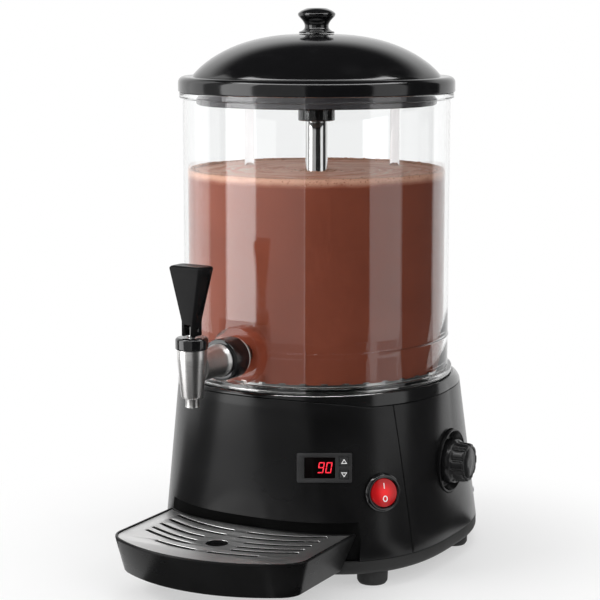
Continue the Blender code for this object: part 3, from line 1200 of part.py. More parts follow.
def build_dial(parent, rear):
    """The thermostat: a dish in the right side, the body behind it, and the knob on its spindle."""
    axis = frame("dial_axis", parent, place=(0.0, KNOB_Y, KNOB_Z), turn=(0.0, math.pi / 2, 0.0))
    rim = dish_rim()
    face = rim + DIAL_PROUD
    floor = rim - DISH_DEPTH
    under = floor - DISH_WALL
    turned("knob_dish", [
        (DISH_RADIUS, rim), (DISH_RADIUS - DISH_WALL, under), (DISH_HOLE, under), (DISH_HOLE, floor),
        (DISH_RADIUS - 2 * DISH_WALL, floor), (DISH_RADIUS - DISH_WALL, rim),
    ], BLACK_SATIN, axis, closed=True)
    cut(rear, rod("dish_opening", DISH_RADIUS + FIT, DISH_DEPTH + DISH_WALL + 2 * OVERRUN, BLACK_SATIN, axis,
                  place=(0.0, 0.0, under - OVERRUN)))
    back = under - FIT
    bore = SPINDLE_RADIUS + FIT
    socket = back - THERMOSTAT_SOCKET
    turned("thermostat_body", [
        (THERMOSTAT_RADIUS, back), (THERMOSTAT_RADIUS, back - THERMOSTAT_LENGTH),
        (0.0, back - THERMOSTAT_LENGTH), (0.0, socket), (bore, socket), (bore, back),
    ], ZINC, axis, closed=True)

    spin = frame("dial_spin", axis)
    start = floor + DIAL_GAP
    bite = start + SPINDLE_BITE
    dial = turned("side_knob", [
        (0.0, face), (DIAL_FACE_RADIUS - DIAL_FLUTE_OUT, face),
        (DIAL_FACE_RADIUS, face - DIAL_FLUTE_OUT), (DIAL_RADIUS - DIAL_FLUTE_OUT, start + DIAL_SKIRT),
        (DIAL_RADIUS, start), (bore, start), (bore, bite + FIT), (0.0, bite + FIT),
    ], BLACK_SATIN, spin)
    length = face - start - DIAL_SKIRT + OVERRUN
    for i in range(DIAL_FLUTES):
        angle = 2 * math.pi * i / DIAL_FLUTES
        distance = DIAL_FACE_RADIUS + DIAL_FLUTE_OUT
        cut(dial, rod(f"dial_flute_{i + 1}", DIAL_FLUTE_RADIUS, length, BLACK_SATIN, spin,
                      place=(distance * math.cos(angle), distance * math.sin(angle), start + DIAL_SKIRT),
                      steps=8))
    rod("knob_spindle", SPINDLE_RADIUS, bite - socket - FIT, BRASS, spin,
        place=(0.0, 0.0, socket + FIT), steps=16)


def build_rear(parent, rear):
    """The vents, cord gland and screws of the rear shell, and the terminal block inside."""
    wall = wall_point(math.pi / 2, VENT_Z).y
    for i in range(VENT_COUNT):
        height = VENT_Z + (i - (VENT_COUNT - 1) / 2) * VENT_PITCH
        slot = (VENT_SIZE[0], 4 * SHELL_WALL + 2 * OVERRUN, VENT_SIZE[1])
        cut(rear, box(f"vent_{i + 1}", slot, BLACK_SATIN, parent, place=(0.0, wall, height)))

    outwards = (math.pi / 2, 0.0, 0.0)
    inner = SHELL_WALL + GLAND_TAIL
    spot = wall_frame("gland_frame", GLAND_ANGLE, GLAND_Z, parent)
    turned("cord_gland", [
        (GLAND_THREAD, GLAND_NOSE), (GLAND_RADIUS, GLAND_SEAT + GLAND_FLANGE), (GLAND_RADIUS, GLAND_SEAT),
        (GLAND_THREAD, GLAND_SEAT), (GLAND_THREAD, -inner), (GLAND_BORE, -inner), (GLAND_BORE, GLAND_NOSE),
    ], BLACK_MATT, spot, closed=True, turn=outwards, steps=20)
    cut(rear, rod("gland_opening", GLAND_THREAD + FIT, inner + OVERRUN, BLACK_SATIN, spot,
                  place=(0.0, inner, 0.0), turn=outwards, steps=20))

    for side_name, angle in (("right", REAR_SCREW_ANGLE), ("left", math.pi - REAR_SCREW_ANGLE)):
        spot = wall_frame("screw_frame_" + side_name, angle, REAR_SCREW_Z, parent)
        head = REAR_SCREW_SEAT + SCREW_HEAD_HEIGHT
        turned("rear_screw_" + side_name, [
            (0.0, head), (SCREW_HEAD, head - SCREW_HEAD_HEIGHT / 2), (SCREW_HEAD, REAR_SCREW_SEAT),
            (SCREW_RADIUS, REAR_SCREW_SEAT), (SCREW_RADIUS, -SCREW_BITE), (0.0, -SCREW_BITE),
        ], ZINC, spot, turn=outwards, steps=16)
        cut(rear, rod("screw_hole_" + side_name, SCREW_RADIUS + FIT, SCREW_BITE + OVERRUN, BLACK_SATIN, spot,
                      place=(0.0, SCREW_BITE, 0.0), turn=outwards, steps=16))

    box("terminal_block", BLOCK_SIZE, WHITE_PLASTIC, parent,
        place=(BLOCK_PLACE[0], BLOCK_PLACE[1], PAN_FLOOR_TOP + FIT + BLOCK_SIZE[2] / 2))


def tray_outline(inset):
    """The tray's plan: its back follows the base's wall, its front is bowed, its corners are round."""
    half = TRAY_HALF_WIDTH - inset
    front = TRAY_FRONT - inset
    bow = TRAY_BOW_RADIUS - inset
    corner = TRAY_CORNER - inset / 2

    def bowed(x):
        return -front + bow - math.sqrt(bow ** 2 - x ** 2)

    points = []
    for i in range(TRAY_STEPS + 1):
        x = half * (1 - 2 * i / TRAY_STEPS)
        points.append((x, wall_front(x, TRAY_BOTTOM) + NICHE_DEPTH - TRAY_GAP - inset))
    reach = half - corner
    rounded = []
    for i in range(CORNER_STEPS + 1):
        share = i / CORNER_STEPS
        start = Vector((half, bowed(half) + corner)).lerp(Vector((half, bowed(half))), share)
        end = Vector((half, bowed(half))).lerp(Vector((reach, bowed(reach))), share)
        rounded.append(tuple(start.lerp(end, share)))
    points += [(-x, y) for x, y in rounded]
    for i in range(1, TRAY_STEPS):
        x = reach * (2 * i / TRAY_STEPS - 1)
        points.append((x, bowed(x)))
    return points + list(reversed(rounded))


def tray_ring(inset, height):
    """One level of the tray."""
    return [(x, y, height) for x, y in tray_outline(inset)]


def build_tray(slide, lift):
    """The drip tray and the steel grid that lies in it."""
    ledge = GRID_BOTTOM - FIT
    inner = TRAY_LIP_WIDTH
    loft("drip_tray", [
        tray_ring(TRAY_DRAFT, TRAY_BOTTOM),
        tray_ring(0.0, TRAY_LIP - TRAY_LIP_WIDTH),
        tray_ring(TRAY_LIP_WIDTH / 3, TRAY_LIP),
        tray_ring(inner, TRAY_LIP),
        tray_ring(inner, ledge),
        tray_ring(inner + TRAY_LEDGE, ledge),
        tray_ring(TRAY_DRAFT + TRAY_WALL, TRAY_BOTTOM + TRAY_FLOOR),
    ], BLACK_SATIN, slide, ring_shape=False)

    outline = tray_outline(inner + FIT)
    middle = GRID_BOTTOM + GRID_THICKNESS / 2
    grid = flat("drip_grid", outline, GRID_THICKNESS, STEEL_BRUSHED, lift, place=(0.0, 0.0, middle))
    tall = GRID_THICKNESS + 2 * OVERRUN
    cut(grid, rod("grid_hole", GRID_HOLE_RADIUS, tall, STEEL_BRUSHED, lift,
                  place=(0.0, -GRID_HOLE_Y, GRID_BOTTOM - OVERRUN), steps=20))
    for number, (front, start, end) in enumerate(SLOT_ROWS, 1):
        for side, side_name in ((-1, "left"), (1, "right")):
            half = SLOT_WIDTH / 2
            steps = 3
            line = []
            for i in range(steps + 1):
                x = start + half + (end - start - SLOT_WIDTH) * i / steps
                line.append((x, -front + TRAY_BOW_RADIUS - math.sqrt(TRAY_BOW_RADIUS ** 2 - x ** 2)))
            near = [(x, y - half) for x, y in line]
            far = [(x, y + half) for x, y in reversed(line)]
            path = near + [(end, line[-1][1])] + far + [(start, line[0][1])]
            if side < 0:
                path = [(-x, y) for x, y in reversed(path)]
            cut(grid, flat(f"slot_{number}_{side_name}", path, tall, STEEL_BRUSHED, lift,
                           place=(0.0, 0.0, middle)))


def main():
    """Build the machine: fixed pieces first, then what moves on them."""
    centre_x = (dish_rim() + DIAL_PROUD - BASE_HALF_WIDTH) / 2
    centre_y = (BASE_REAR - TRAY_FRONT) / 2
    root = frame("dispenser_root", place=(-centre_x, -centre_y, 0.0))
    front, rear = build_base(root)
    build_heating(root)
    build_drive(root, frame("shaft_spin", root))
    build_display(root, front)
    build_switch(root, front)
    build_dial(root, rear)
    build_rear(root, rear)
    tray = frame("tray_slide", root)
    build_tray(tray, frame("grid_lift", tray))
    tank = frame("tank_lift", root, turn=(0.0, 0.0, TANK_TURN))
    build_tank(tank)
    build_stirrer(frame("stirrer_spin", tank))
    build_tap(tank)
    build_lid(frame("lid_lift", tank, turn=(0.0, 0.0, -TANK_TURN)))


main()
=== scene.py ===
"""The looks of the hot chocolate dispenser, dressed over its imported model.

Lengths are in metres, written as millimetres times MM or handed to in_mm. The pieces are drawn about
the tank's axis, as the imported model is, and each one is then put where that axis stands in the frame.
"""
import logging
import math
import random
from dataclasses import dataclass, field
from enum import Enum
from functools import lru_cache
from typing import Callable, List, Optional, Tuple, Union

import bmesh
import bpy
from mathutils import Matrix, Vector


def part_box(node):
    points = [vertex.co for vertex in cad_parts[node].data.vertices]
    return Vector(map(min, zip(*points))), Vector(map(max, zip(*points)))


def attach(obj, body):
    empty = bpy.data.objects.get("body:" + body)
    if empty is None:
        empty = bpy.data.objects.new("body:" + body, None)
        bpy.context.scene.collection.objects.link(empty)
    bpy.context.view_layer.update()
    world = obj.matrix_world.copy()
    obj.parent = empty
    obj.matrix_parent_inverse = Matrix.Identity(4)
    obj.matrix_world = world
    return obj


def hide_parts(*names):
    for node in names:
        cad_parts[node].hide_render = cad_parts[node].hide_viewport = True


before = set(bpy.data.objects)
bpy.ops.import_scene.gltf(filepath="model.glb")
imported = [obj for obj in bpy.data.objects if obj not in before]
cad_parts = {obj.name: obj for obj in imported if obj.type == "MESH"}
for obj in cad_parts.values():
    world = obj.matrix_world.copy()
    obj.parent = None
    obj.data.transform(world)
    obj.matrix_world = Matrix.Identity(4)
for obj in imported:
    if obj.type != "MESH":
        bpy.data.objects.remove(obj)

MM = 0.001
WELD = 0.001 * MM
CREASE = 35.0
LOG = logging.getLogger("dispenser")
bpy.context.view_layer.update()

Point2 = Tuple[float, float]
Point3 = Tuple[float, float, float]
Color = Tuple[float, float, float]
Profile = List[Point2]
Points = Tuple[Point2, ...]
Ring = List[Point3]
Piece = bpy.types.Object
Term = Union["Value", float]


def middle_of(node: str) -> Vector:
    """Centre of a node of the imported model, on the ground."""
    low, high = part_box(node)
    return Vector(((low[0] + high[0]) / 2, (low[1] + high[1]) / 2, 0.0))


def moved(x: float = 0.0, y: float = 0.0, z: float = 0.0) -> Matrix:
    """A shift."""
    return Matrix.Translation((x, y, z))


def in_mm(*points: Point2, above: float = 0.0) -> Profile:
    """A profile that is typed in millimetres, with its heights over another height."""
    return [(x * MM, above + y * MM) for x, y in points]


def angles(steps: int) -> List[float]:
    """Even plan angles round the axis."""
    return [math.tau * i / steps for i in range(steps)]


def shares(steps: int) -> List[float]:
    """Even shares from 0 to 1."""
    return [i / steps for i in range(steps + 1)]


def polar(radius: float, angle: float, height: float) -> Point3:
    """A point from its distance to the axis, its plan angle and its height."""
    return (radius * math.cos(angle), radius * math.sin(angle), height)


AXIS = Matrix.Translation(middle_of("tank_seal"))
TANK_TURN = math.radians(-5.0)
TURNED = AXIS @ Matrix.Rotation(TANK_TURN, 4, "Z")
FACING = Matrix.Rotation(math.pi / 2, 4, "X")
SIDEWAYS = Matrix.Rotation(math.pi / 2, 4, "Y")
TAP_PLACE = TURNED @ moved(z=218.7 * MM)


class Value:
    """A shader socket in an expression: each operator adds its Math node."""

    def __init__(self, graph: "Graph", socket: bpy.types.NodeSocket) -> None:
        """Wrap an output socket of a graph."""
        self.graph = graph
        self.socket = socket

    def __add__(self, other: Term) -> "Value":
        """Sum with another value."""
        return self.graph.math("ADD", self, other)

    def __radd__(self, other: float) -> "Value":
        """Sum with a number on the left."""
        return self.graph.math("ADD", other, self)

    def __sub__(self, other: Term) -> "Value":
        """Difference with another value."""
        return self.graph.math("SUBTRACT", self, other)

    def __rsub__(self, other: float) -> "Value":
        """Difference with a number on the left."""
        return self.graph.math("SUBTRACT", other, self)

    def __mul__(self, other: Term) -> "Value":
        """Product with another value."""
        return self.graph.math("MULTIPLY", self, other)

    def __pow__(self, other: float) -> "Value":
        """Power of the value."""
        return self.graph.math("POWER", self, other)

    def sine(self) -> "Value":
        """Sine of the value, in radians."""
        return self.graph.math("SINE", self)

    def larger(self, other: Term) -> "Value":
        """The larger of two values."""
        return self.graph.math("MAXIMUM", self, other)

    def smaller(self, other: Term) -> "Value":
        """The smaller of two values."""
        return self.graph.math("MINIMUM", self, other)

    def ramp(self, low: float, high: float, start: float = 0.0, end: float = 1.0) -> "Value":
        """Ease from one value to another while this one goes from low to high."""
        spots = {"Value": self, "From Min": low, "From Max": high, "To Min": start, "To Max": end}
        return self.graph.add("MapRange", {"interpolation_type": "SMOOTHSTEP"}, spots)


class Graph:
    """The nodes of one material, or of the world."""

    def __init__(self, owner: Union[bpy.types.Material, bpy.types.World]) -> None:
        """Start with no nodes.

        Args:
            owner: the material or the world.
        """
        owner.use_nodes = True
        self.owner = owner
        self.tree = owner.node_tree
        self.tree.nodes.clear()

    def add(self, kind: str, settings: Optional[dict] = None, sockets: Optional[dict] = None,
            output: Union[int, str] = 0) -> Value:
        """Add a node: its settings first, then the values or links of its sockets.

        Args:
            kind: the node's type, without ShaderNode.
            settings: attributes to set.
            sockets: numbers, colours or values by socket name or number.
            output: the output socket that is wanted.

        Returns:
            That output, ready for expressions.
        """
        node = self.tree.nodes.new("ShaderNode" + kind)
        for key, setting in (settings or {}).items():
            setattr(node, key, setting)
        for key, value in (sockets or {}).items():
            if isinstance(value, Value):
                self.tree.links.new(value.socket, node.inputs[key])
            else:
                node.inputs[key].default_value = value
        return Value(self, node.outputs[output])

    def math(self, operation: str, first: Term, second: Term = 0.0) -> Value:
        """Add a Math node on one or two values."""
        return self.add("Math", {"operation": operation}, {0: first, 1: second})

    def vector(self, operation: str, first: Union[Value, Point3], second: Union[Value, Point3],
               output: str = "Vector") -> Value:
        """Add a Vector Math node on two vectors."""
        return self.add("VectorMath", {"operation": operation}, {0: first, 1: second}, output)

    def place(self) -> Value:
        """The point in the piece's own space."""
        return self.add("TexCoord", output="Object")

    def parts(self, vector: Value) -> Tuple[Value, Value, Value]:
        """The three numbers of a vector."""
        node = self.add("SeparateXYZ", None, {0: vector}).socket.node
        return tuple(Value(self, output) for output in node.outputs)

    def polar(self, spot: Value) -> Tuple[Value, Value, Value]:
        """A point's angle round the axis, its distance from the axis and its height."""
        x, y, z = self.parts(spot)
        return self.math("ARCTAN2", y, x), (x * x + y * y) ** 0.5, z

    def join(self, x: Term, y: Term, z: Term) -> Value:
        """A vector from three numbers."""
        return self.add("CombineXYZ", None, {0: x, 1: y, 2: z})

    def noise(self, vector: Value, scale: float, detail: float = 3.0, distortion: float = 0.0) -> Value:
        """Smooth noise between 0 and 1."""
        sockets = {"Vector": vector, "Scale": scale, "Detail": detail, "Distortion": distortion}
        return self.add("TexNoise", None, sockets)

    def streaks(self, spot: Value, scales: Point3, detail: float = 3.0) -> Value:
        """Noise with a scale of its own along each axis."""
        return self.noise(self.vector("MULTIPLY", spot, scales), 1.0, detail)

    def cells(self, vector: Value, scale: float, spread: float = 1.0) -> Value:
        """Distance to the nearest of many scattered points."""
        sockets = {"Vector": vector, "Scale": scale, "Randomness": spread}
        return self.add("TexVoronoi", None, sockets)

    def tint(self, factor: Term, first: Union[Value, Color], second: Union[Value, Color]) -> Value:
        """Mix two colours."""
        ends = [color if isinstance(color, Value) else (*color, 1.0) for color in (first, second)]
        return self.add("Mix", {"data_type": "RGBA"}, {0: factor, 6: ends[0], 7: ends[1]}, 2)

    def bump(self, height: Value, strength: float, depth: float) -> Value:
        """A normal from a height."""
        return self.add("Bump", None, {"Height": height, "Strength": strength, "Distance": depth})

    def shader(self, **sockets: Union[Value, float, Color]) -> Value:
        """A Principled shader.

        Args:
            sockets: its sockets, with their names in lower case and with underscores.

        Returns:
            The shader.
        """
        named = {}
        for key, value in sockets.items():
            socket = " ".join(word if word == "IOR" else word.capitalize() for word in key.split("_"))
            named[socket] = (*value, 1.0) if isinstance(value, tuple) else value
        return self.add("BsdfPrincipled", None, named)

    def mixed(self, factor: Term, first: Value, second: Value) -> Value:
        """Mix two shaders."""
        return self.add("MixShader", None, {0: factor, 1: first, 2: second})

    def light(self, level: float, kind: str = "Emission") -> Value:
        """Even white light of one strength."""
        return self.add(kind, None, {"Color": (1.0, 1.0, 1.0, 1.0), "Strength": level})

    def finish(self, shader: Value, kind: str = "OutputMaterial") -> bpy.types.ID:
        """Send a shader to the surface, and return the material or the world."""
        self.tree.links.new(shader.socket, self.tree.nodes.new("ShaderNode" + kind).inputs["Surface"])
        return self.owner


class Way(Enum):
    """Which way the brush marks of a metal run."""

    ALONG_X = "along x"
    ALONG_Z = "along z"
    ROUND_Z = "round z"


def shade(color: Color, factor: float, plus: float = 0.0) -> Color:
    """A darker or lighter shade of a colour."""
    return tuple(factor * part + plus for part in color)


@dataclass(frozen=True)
class Finish:
    """Base of the finishes: a name, and the material that is made once from it."""

    name: str

    def build(self, graph: Graph) -> Value:
        """Build the shader."""
        raise NotImplementedError

    @lru_cache(maxsize=None)
    def material(self) -> bpy.types.Material:
        """The material, made the first time that it is asked for."""
        graph = Graph(bpy.data.materials.new(self.name))
        return graph.finish(self.build(graph))


@dataclass(frozen=True)
class Moulded(Finish):
    """Moulded plastic: a fine spark-eroded grain, faint cloudy gloss and a little dust."""

    color: Color
    roughness: float = 0.36
    grain: float = 0.35 * MM
    depth: float = 0.012 * MM
    cloud: float = 0.05
    dust: float = 0.05
    specular: float = 0.42

    def build(self, graph: Graph) -> Value:
        """Build the shader.

        Args:
            graph: the material's nodes.

        Returns:
            The shader.
        """
        spot = graph.place()
        grain = graph.noise(spot, 1 / self.grain, 2.0)
        cloud = graph.noise(spot, 14.0, 4.0, 0.6)
        wipe = graph.streaks(spot, (30.0, 30.0, 150.0))
        specks = 1 - graph.cells(spot, 420.0).ramp(0.02, 0.07)
        specks = specks * graph.noise(spot, 60.0, 1.0).ramp(0.55, 0.7)
        base = graph.tint(cloud.ramp(0.3, 0.7), shade(self.color, 0.8), shade(self.color, 1.25, 0.002))
        base = graph.tint(specks * 0.5, base, shade(self.color, 1.0, self.dust))
        rough = self.roughness + (cloud - 0.5) * self.cloud + (wipe - 0.5) * self.cloud * 0.6
        rough = rough + specks * 0.2
        normal = graph.bump(grain, 0.35, self.depth)
        return graph.shader(base_color=base, roughness=rough, normal=normal, specular_IOR_level=self.specular)


@dataclass(frozen=True)
class Glossy(Finish):
    """Polished black plastic: slight orange peel, finger smears and a few specks of dust."""

    color: Color
    roughness: float = 0.09
    peel: float = 9 * MM
    coat: float = 0.3
    specular: float = 0.5

    def build(self, graph: Graph) -> Value:
        """Build the shader.

        Args:
            graph: the material's nodes.

        Returns:
            The shader.
        """
        spot = graph.place()
        peel = graph.noise(spot, 1 / self.peel, 1.0)
        smear = graph.noise(spot, 26.0, 4.0, 1.2).ramp(0.5, 0.75)
        fine = graph.noise(spot, 700.0, 2.0)
        specks = 1 - graph.cells(spot, 300.0).ramp(0.015, 0.05)
        rough = self.roughness + smear * 0.05 + (fine - 0.5) * 0.03 + specks * 0.2
        base = graph.tint(smear * 0.6, self.color, shade(self.color, 1.6, 0.004))
        base = graph.tint(specks * 0.35, base, shade(self.color, 1.0, 0.07))
        normal = graph.bump(peel, 0.05, 0.1 * MM)
        return graph.shader(base_color=base, roughness=rough, normal=normal, coat_weight=self.coat,
                            coat_roughness=0.04, specular_IOR_level=self.specular)


@dataclass(frozen=True)
class Brushed(Finish):
    """Brushed steel: long fine marks in the brush's way, slight stains and worn bright streaks."""

    color: Color
    roughness: float = 0.24
    way: Way = Way.ROUND_Z
    mark: float = 0.16 * MM
    length: float = 14 * MM
    depth: float = 0.01 * MM

    def stretched(self, graph: Graph, spot: Value) -> Value:
        """Draw the point's scale out along the brush marks.

        Args:
            graph: the material.
            spot: the point.

        Returns:
            The scaled point.
        """
        fine, slow = 1 / self.mark, 1 / self.length
        if self.way is Way.ROUND_Z:
            angle, radius, z = graph.polar(spot)
            return graph.join(radius * fine, angle * 2.5, z * fine)
        scales = (slow, fine, fine) if self.way is Way.ALONG_X else (fine, fine, slow)
        return graph.vector("MULTIPLY", spot, scales)

    def build(self, graph: Graph) -> Value:
        """Build the shader.

        Args:
            graph: the material's nodes.

        Returns:
            The shader.
        """
        spot = graph.place()
        marks = graph.noise(self.stretched(graph, spot), 1.0, 3.0)
        stain = graph.noise(spot, 22.0, 4.0, 0.8)
        base = graph.tint(marks.ramp(0.25, 0.75), shade(self.color, 0.86), self.color)
        base = graph.tint(stain.ramp(0.55, 0.8) * 0.25, base, shade(self.color, 0.9))
        rough = self.roughness + (marks - 0.5) * 0.22 + (stain - 0.5) * 0.08
        normal = graph.bump(marks, 0.3, self.depth)
        return graph.shader(base_color=base, metallic=1.0, roughness=rough, normal=normal)


@dataclass(frozen=True)
class Polished(Finish):
    """Polished metal with faint wiping marks and dull spots."""

    color: Color
    roughness: float = 0.07

    def build(self, graph: Graph) -> Value:
        """Build the shader.

        Args:
            graph: the material's nodes.

        Returns:
            The shader.
        """
        spot = graph.place()
        wipe = graph.streaks(spot, (500.0, 500.0, 40.0))
        dull = graph.noise(spot, 45.0, 3.0).ramp(0.5, 0.8)
        rough = self.roughness + (wipe - 0.5) * 0.06 + dull * 0.05
        base = graph.tint(dull * 0.5, self.color, shade(self.color, 0.88))
        return graph.shader(base_color=base, metallic=1.0, roughness=rough)


@dataclass(frozen=True)
class Clear(Finish):
    """Clear moulded plastic, very slightly wavy, with a few hair scratches."""

    tint: Color
    ior: float = 1.49
    wave: float = 0.02
    coat: float = 0.0

    def build(self, graph: Graph) -> Value:
        """Build the shader.

        Args:
            graph: the material's nodes.

        Returns:
            The shader.
        """
        spot = graph.place()
        wave = graph.noise(spot, 26.0, 1.0)
        hair = graph.streaks(spot, (900.0, 900.0, 30.0), 2.0)
        rough = hair.ramp(0.62, 0.8, 0.0, 0.05)
        normal = graph.bump(wave, self.wave, 0.4 * MM)
        return graph.shader(base_color=self.tint, roughness=rough, normal=normal, transmission_weight=1.0,
                            IOR=self.ior, coat_weight=self.coat)


@dataclass(frozen=True)
class Drink(Finish):
    """Hot chocolate behind the wall: smooth brown with slow, faint drifts and a few milky threads."""

    dark: Color
    light: Color
    milk: Color

    def build(self, graph: Graph) -> Value:
        """Build the shader.

        Args:
            graph: the material's nodes.

        Returns:
            The shader.
        """
        spot = graph.place()
        angle, _, z = graph.polar(spot)
        drift = graph.noise(graph.join(angle * 0.9, z * 9.0, z * 4.0), 1.6, 3.0, 0.7)
        threads = graph.noise(graph.join(angle * 3.0 + z * 14.0, z * 60.0, z * 20.0), 1.0, 4.0, 1.1)
        base = graph.tint(drift.ramp(0.25, 0.8), self.dark, self.light)
        base = graph.tint(threads.ramp(0.6, 0.8) * 0.07, base, self.milk)
        return graph.shader(base_color=base, roughness=0.5 + (drift - 0.5) * 0.1, specular_IOR_level=0.12)


@dataclass(frozen=True)
class Surface(Finish):
    """The top of the drink: slow swirls of milk froth round the tube, and tiny bubbles, with a faint painted
    glow.
    """

    dark: Color
    light: Color
    milk: Color

    def build(self, graph: Graph) -> Value:
        """Build the shader.

        Args:
            graph: the material's nodes.

        Returns:
            The shader.
        """
        spot = graph.place()
        angle, radius, _ = graph.polar(spot)
        lean = angle + radius * 26.0
        curl = graph.join(radius * 70.0, lean.sine() * 1.3, (lean + math.pi / 2).sine() * 1.3)
        swirl = graph.noise(curl, 1.0, 5.0, 1.2)
        fine = graph.noise(curl, 2.6, 4.0, 0.8)
        froth = graph.cells(spot, 700.0).ramp(0.05, 0.5)
        base = graph.tint(swirl.ramp(0.34, 0.62), self.dark, self.light)
        base = graph.tint(fine.ramp(0.52, 0.72) * 0.7, base, self.milk)
        base = graph.tint((1 - froth) * 0.25, base, self.dark)
        rough = 0.5 + (fine - 0.5) * 0.3
        normal = graph.bump(froth + swirl * 0.6, 0.5, 0.35 * MM)
        # The faint emission is painted light on the drink's surface, which is no lamp.
        return graph.shader(base_color=base, roughness=rough, normal=normal, specular_IOR_level=0.12,
                            emission_color=base, emission_strength=0.1)


@dataclass(frozen=True)
class Foam(Finish):
    """Milky foam with small round bubbles and darker gaps, which fades into the drink below it, and a faint
    painted glow.
    """

    light: Color
    dark: Color
    drink: Color
    low: float
    high: float

    def build(self, graph: Graph) -> Value:
        """Build the shader.

        Args:
            graph: the material's nodes.

        Returns:
            The shader.
        """
        spot = graph.place()
        large = graph.cells(spot, 330.0)
        small = graph.cells(spot, 900.0)
        patch = graph.noise(spot, 55.0, 3.0)
        holes = large.ramp(0.05, 0.35) * small.ramp(0.0, 0.3)
        base = graph.tint(holes, self.dark, self.light)
        base = graph.tint(patch.ramp(0.55, 0.75) * 0.4, base, self.dark)
        _, _, height = graph.parts(spot)
        ragged = height + (patch - 0.5) * (self.high - self.low) * 0.8
        base = graph.tint(ragged.ramp(self.low, self.high), self.drink, base)
        normal = graph.bump(large + small * 0.4, 0.6, 0.6 * MM)
        # The faint emission is painted light; the foam is no lamp.
        return graph.shader(base_color=base, roughness=0.45 + (patch - 0.5) * 0.2, normal=normal,
                            specular_IOR_level=0.25, emission_color=base, emission_strength=0.1)


@dataclass(frozen=True)
class Soft(Finish):
    """Rubber or silicone: dull, with a slight bloom and fine pits."""

    color: Color
    roughness: float = 0.72

    def build(self, graph: Graph) -> Value:
        """Build the shader.

        Args:
            graph: the material's nodes.

        Returns:
            The shader.
        """
        spot = graph.place()
        bloom = graph.noise(spot, 35.0, 5.0)
        pits = graph.noise(spot, 1800.0, 2.0)
        base = graph.tint(bloom.ramp(0.35, 0.8), self.color, shade(self.color, 1.3, 0.012))
        return graph.shader(base_color=base, roughness=self.roughness + (bloom - 0.5) * 0.15,
                            normal=graph.bump(pits, 0.3, 0.03 * MM))


@dataclass(frozen=True)
class Lamp(Finish):
    """A red lens lit from behind, over a fine prism pattern; its brighter middle is a painted highlight and
    its darker rim painted shade.
    """

    color: Color
    strength: float
    reach: float

    def build(self, graph: Graph) -> Value:
        """Build the shader.

        Args:
            graph: the material's nodes.

        Returns:
            The shader.
        """
        spot = graph.place()
        away = graph.vector("LENGTH", spot, (0.0, 0.0, 0.0), "Value")
        prism = graph.cells(spot, 900.0, spread=0.0)
        # The middle is painted brighter and the rim darker, in the colour and the glow alike: a painted
        # highlight and painted shade over the lens's own light.
        glow = away.ramp(0.0, self.reach, 1.0, 0.1) * (0.85 + prism * 0.3)
        light = graph.tint(glow, shade(self.color, 0.3), self.color)
        return graph.shader(base_color=light, roughness=0.14 + prism * 0.06, specular_IOR_level=0.3,
                            emission_color=light, emission_strength=self.strength, coat_weight=0.1,
                            coat_roughness=0.03)


@dataclass(frozen=True)
class Board(Finish):
    """A circuit board: green lacquer over paler copper tracks."""

    lacquer: Color
    track: Color

    def build(self, graph: Graph) -> Value:
        """Build the shader.

        Args:
            graph: the material's nodes.

        Returns:
            The shader.
        """
        spot = graph.place()
        tracks = graph.cells(spot, 450.0, spread=0.25).ramp(0.28, 0.34)
        grain = graph.noise(spot, 1500.0, 2.0)
        base = graph.tint(tracks, self.track, self.lacquer)
        return graph.shader(base_color=base, roughness=0.32 + grain * 0.15,
                            normal=graph.bump(tracks, 0.3, 0.03 * MM))


@dataclass(frozen=True)
class Print(Finish):
    """Printed ink, very slightly uneven, with an optional glow: a lit digit's own light, or painted light on
    plain ink.
    """

    color: Color
    glow: float = 0.0

    def build(self, graph: Graph) -> Value:
        """Build the shader.

        Args:
            graph: the material's nodes.

        Returns:
            The shader.
        """
        spot = graph.place()
        grain = graph.noise(spot, 2500.0, 2.0)
        base = graph.tint(grain.ramp(0.2, 0.8), shade(self.color, 0.86), self.color)
        return graph.shader(base_color=base, roughness=0.4 + grain * 0.1, emission_color=base,
                            emission_strength=self.glow)


SATIN_BLACK = Moulded("moulded_black", (0.0055, 0.0055, 0.0058), 0.25, specular=0.3)
DECK_BLACK = Moulded("deck_black", (0.005, 0.005, 0.0053), 0.16, specular=0.55)
TRAY_BLACK = Moulded("tray_black", (0.006, 0.006, 0.0062), 0.28, specular=0.15)
# Painted shade: the niche is drawn darker and duller than the shell, as it lies in shadow.
NICHE_PAINTED_SHADE = Moulded("niche_painted_shade", (0.003, 0.003, 0.003), 0.6, dust=0.01, specular=0.05)
LEVER_BLACK = Moulded("lever_black", (0.006, 0.006, 0.0063), 0.26, specular=0.07)
LID_BLACK = Glossy("lid_black", (0.005, 0.005, 0.0055), 0.12, coat=0.0)
GLOSS_BLACK = Glossy("polished_black", (0.006, 0.006, 0.0065))
KNOB_BLACK = Moulded("knob_moulding", (0.009, 0.009, 0.0095), 0.26, grain=0.25 * MM)
MATT_BLACK = Moulded("dull_black", (0.02, 0.02, 0.02), 0.58, grain=0.5 * MM, depth=0.02 * MM)
SKIRT_GREY = Moulded("skirt_grey", (0.075, 0.072, 0.078), 0.25)
BEZEL_GREY = Moulded("bezel_grey", (0.03, 0.03, 0.031), 0.48, grain=0.45 * MM, depth=0.03 * MM)
STEEL = Brushed("turned_steel", (0.66, 0.65, 0.64))
STEEL_SHEET = Brushed("sheet_steel", (0.86, 0.855, 0.85), 0.34, Way.ALONG_X)
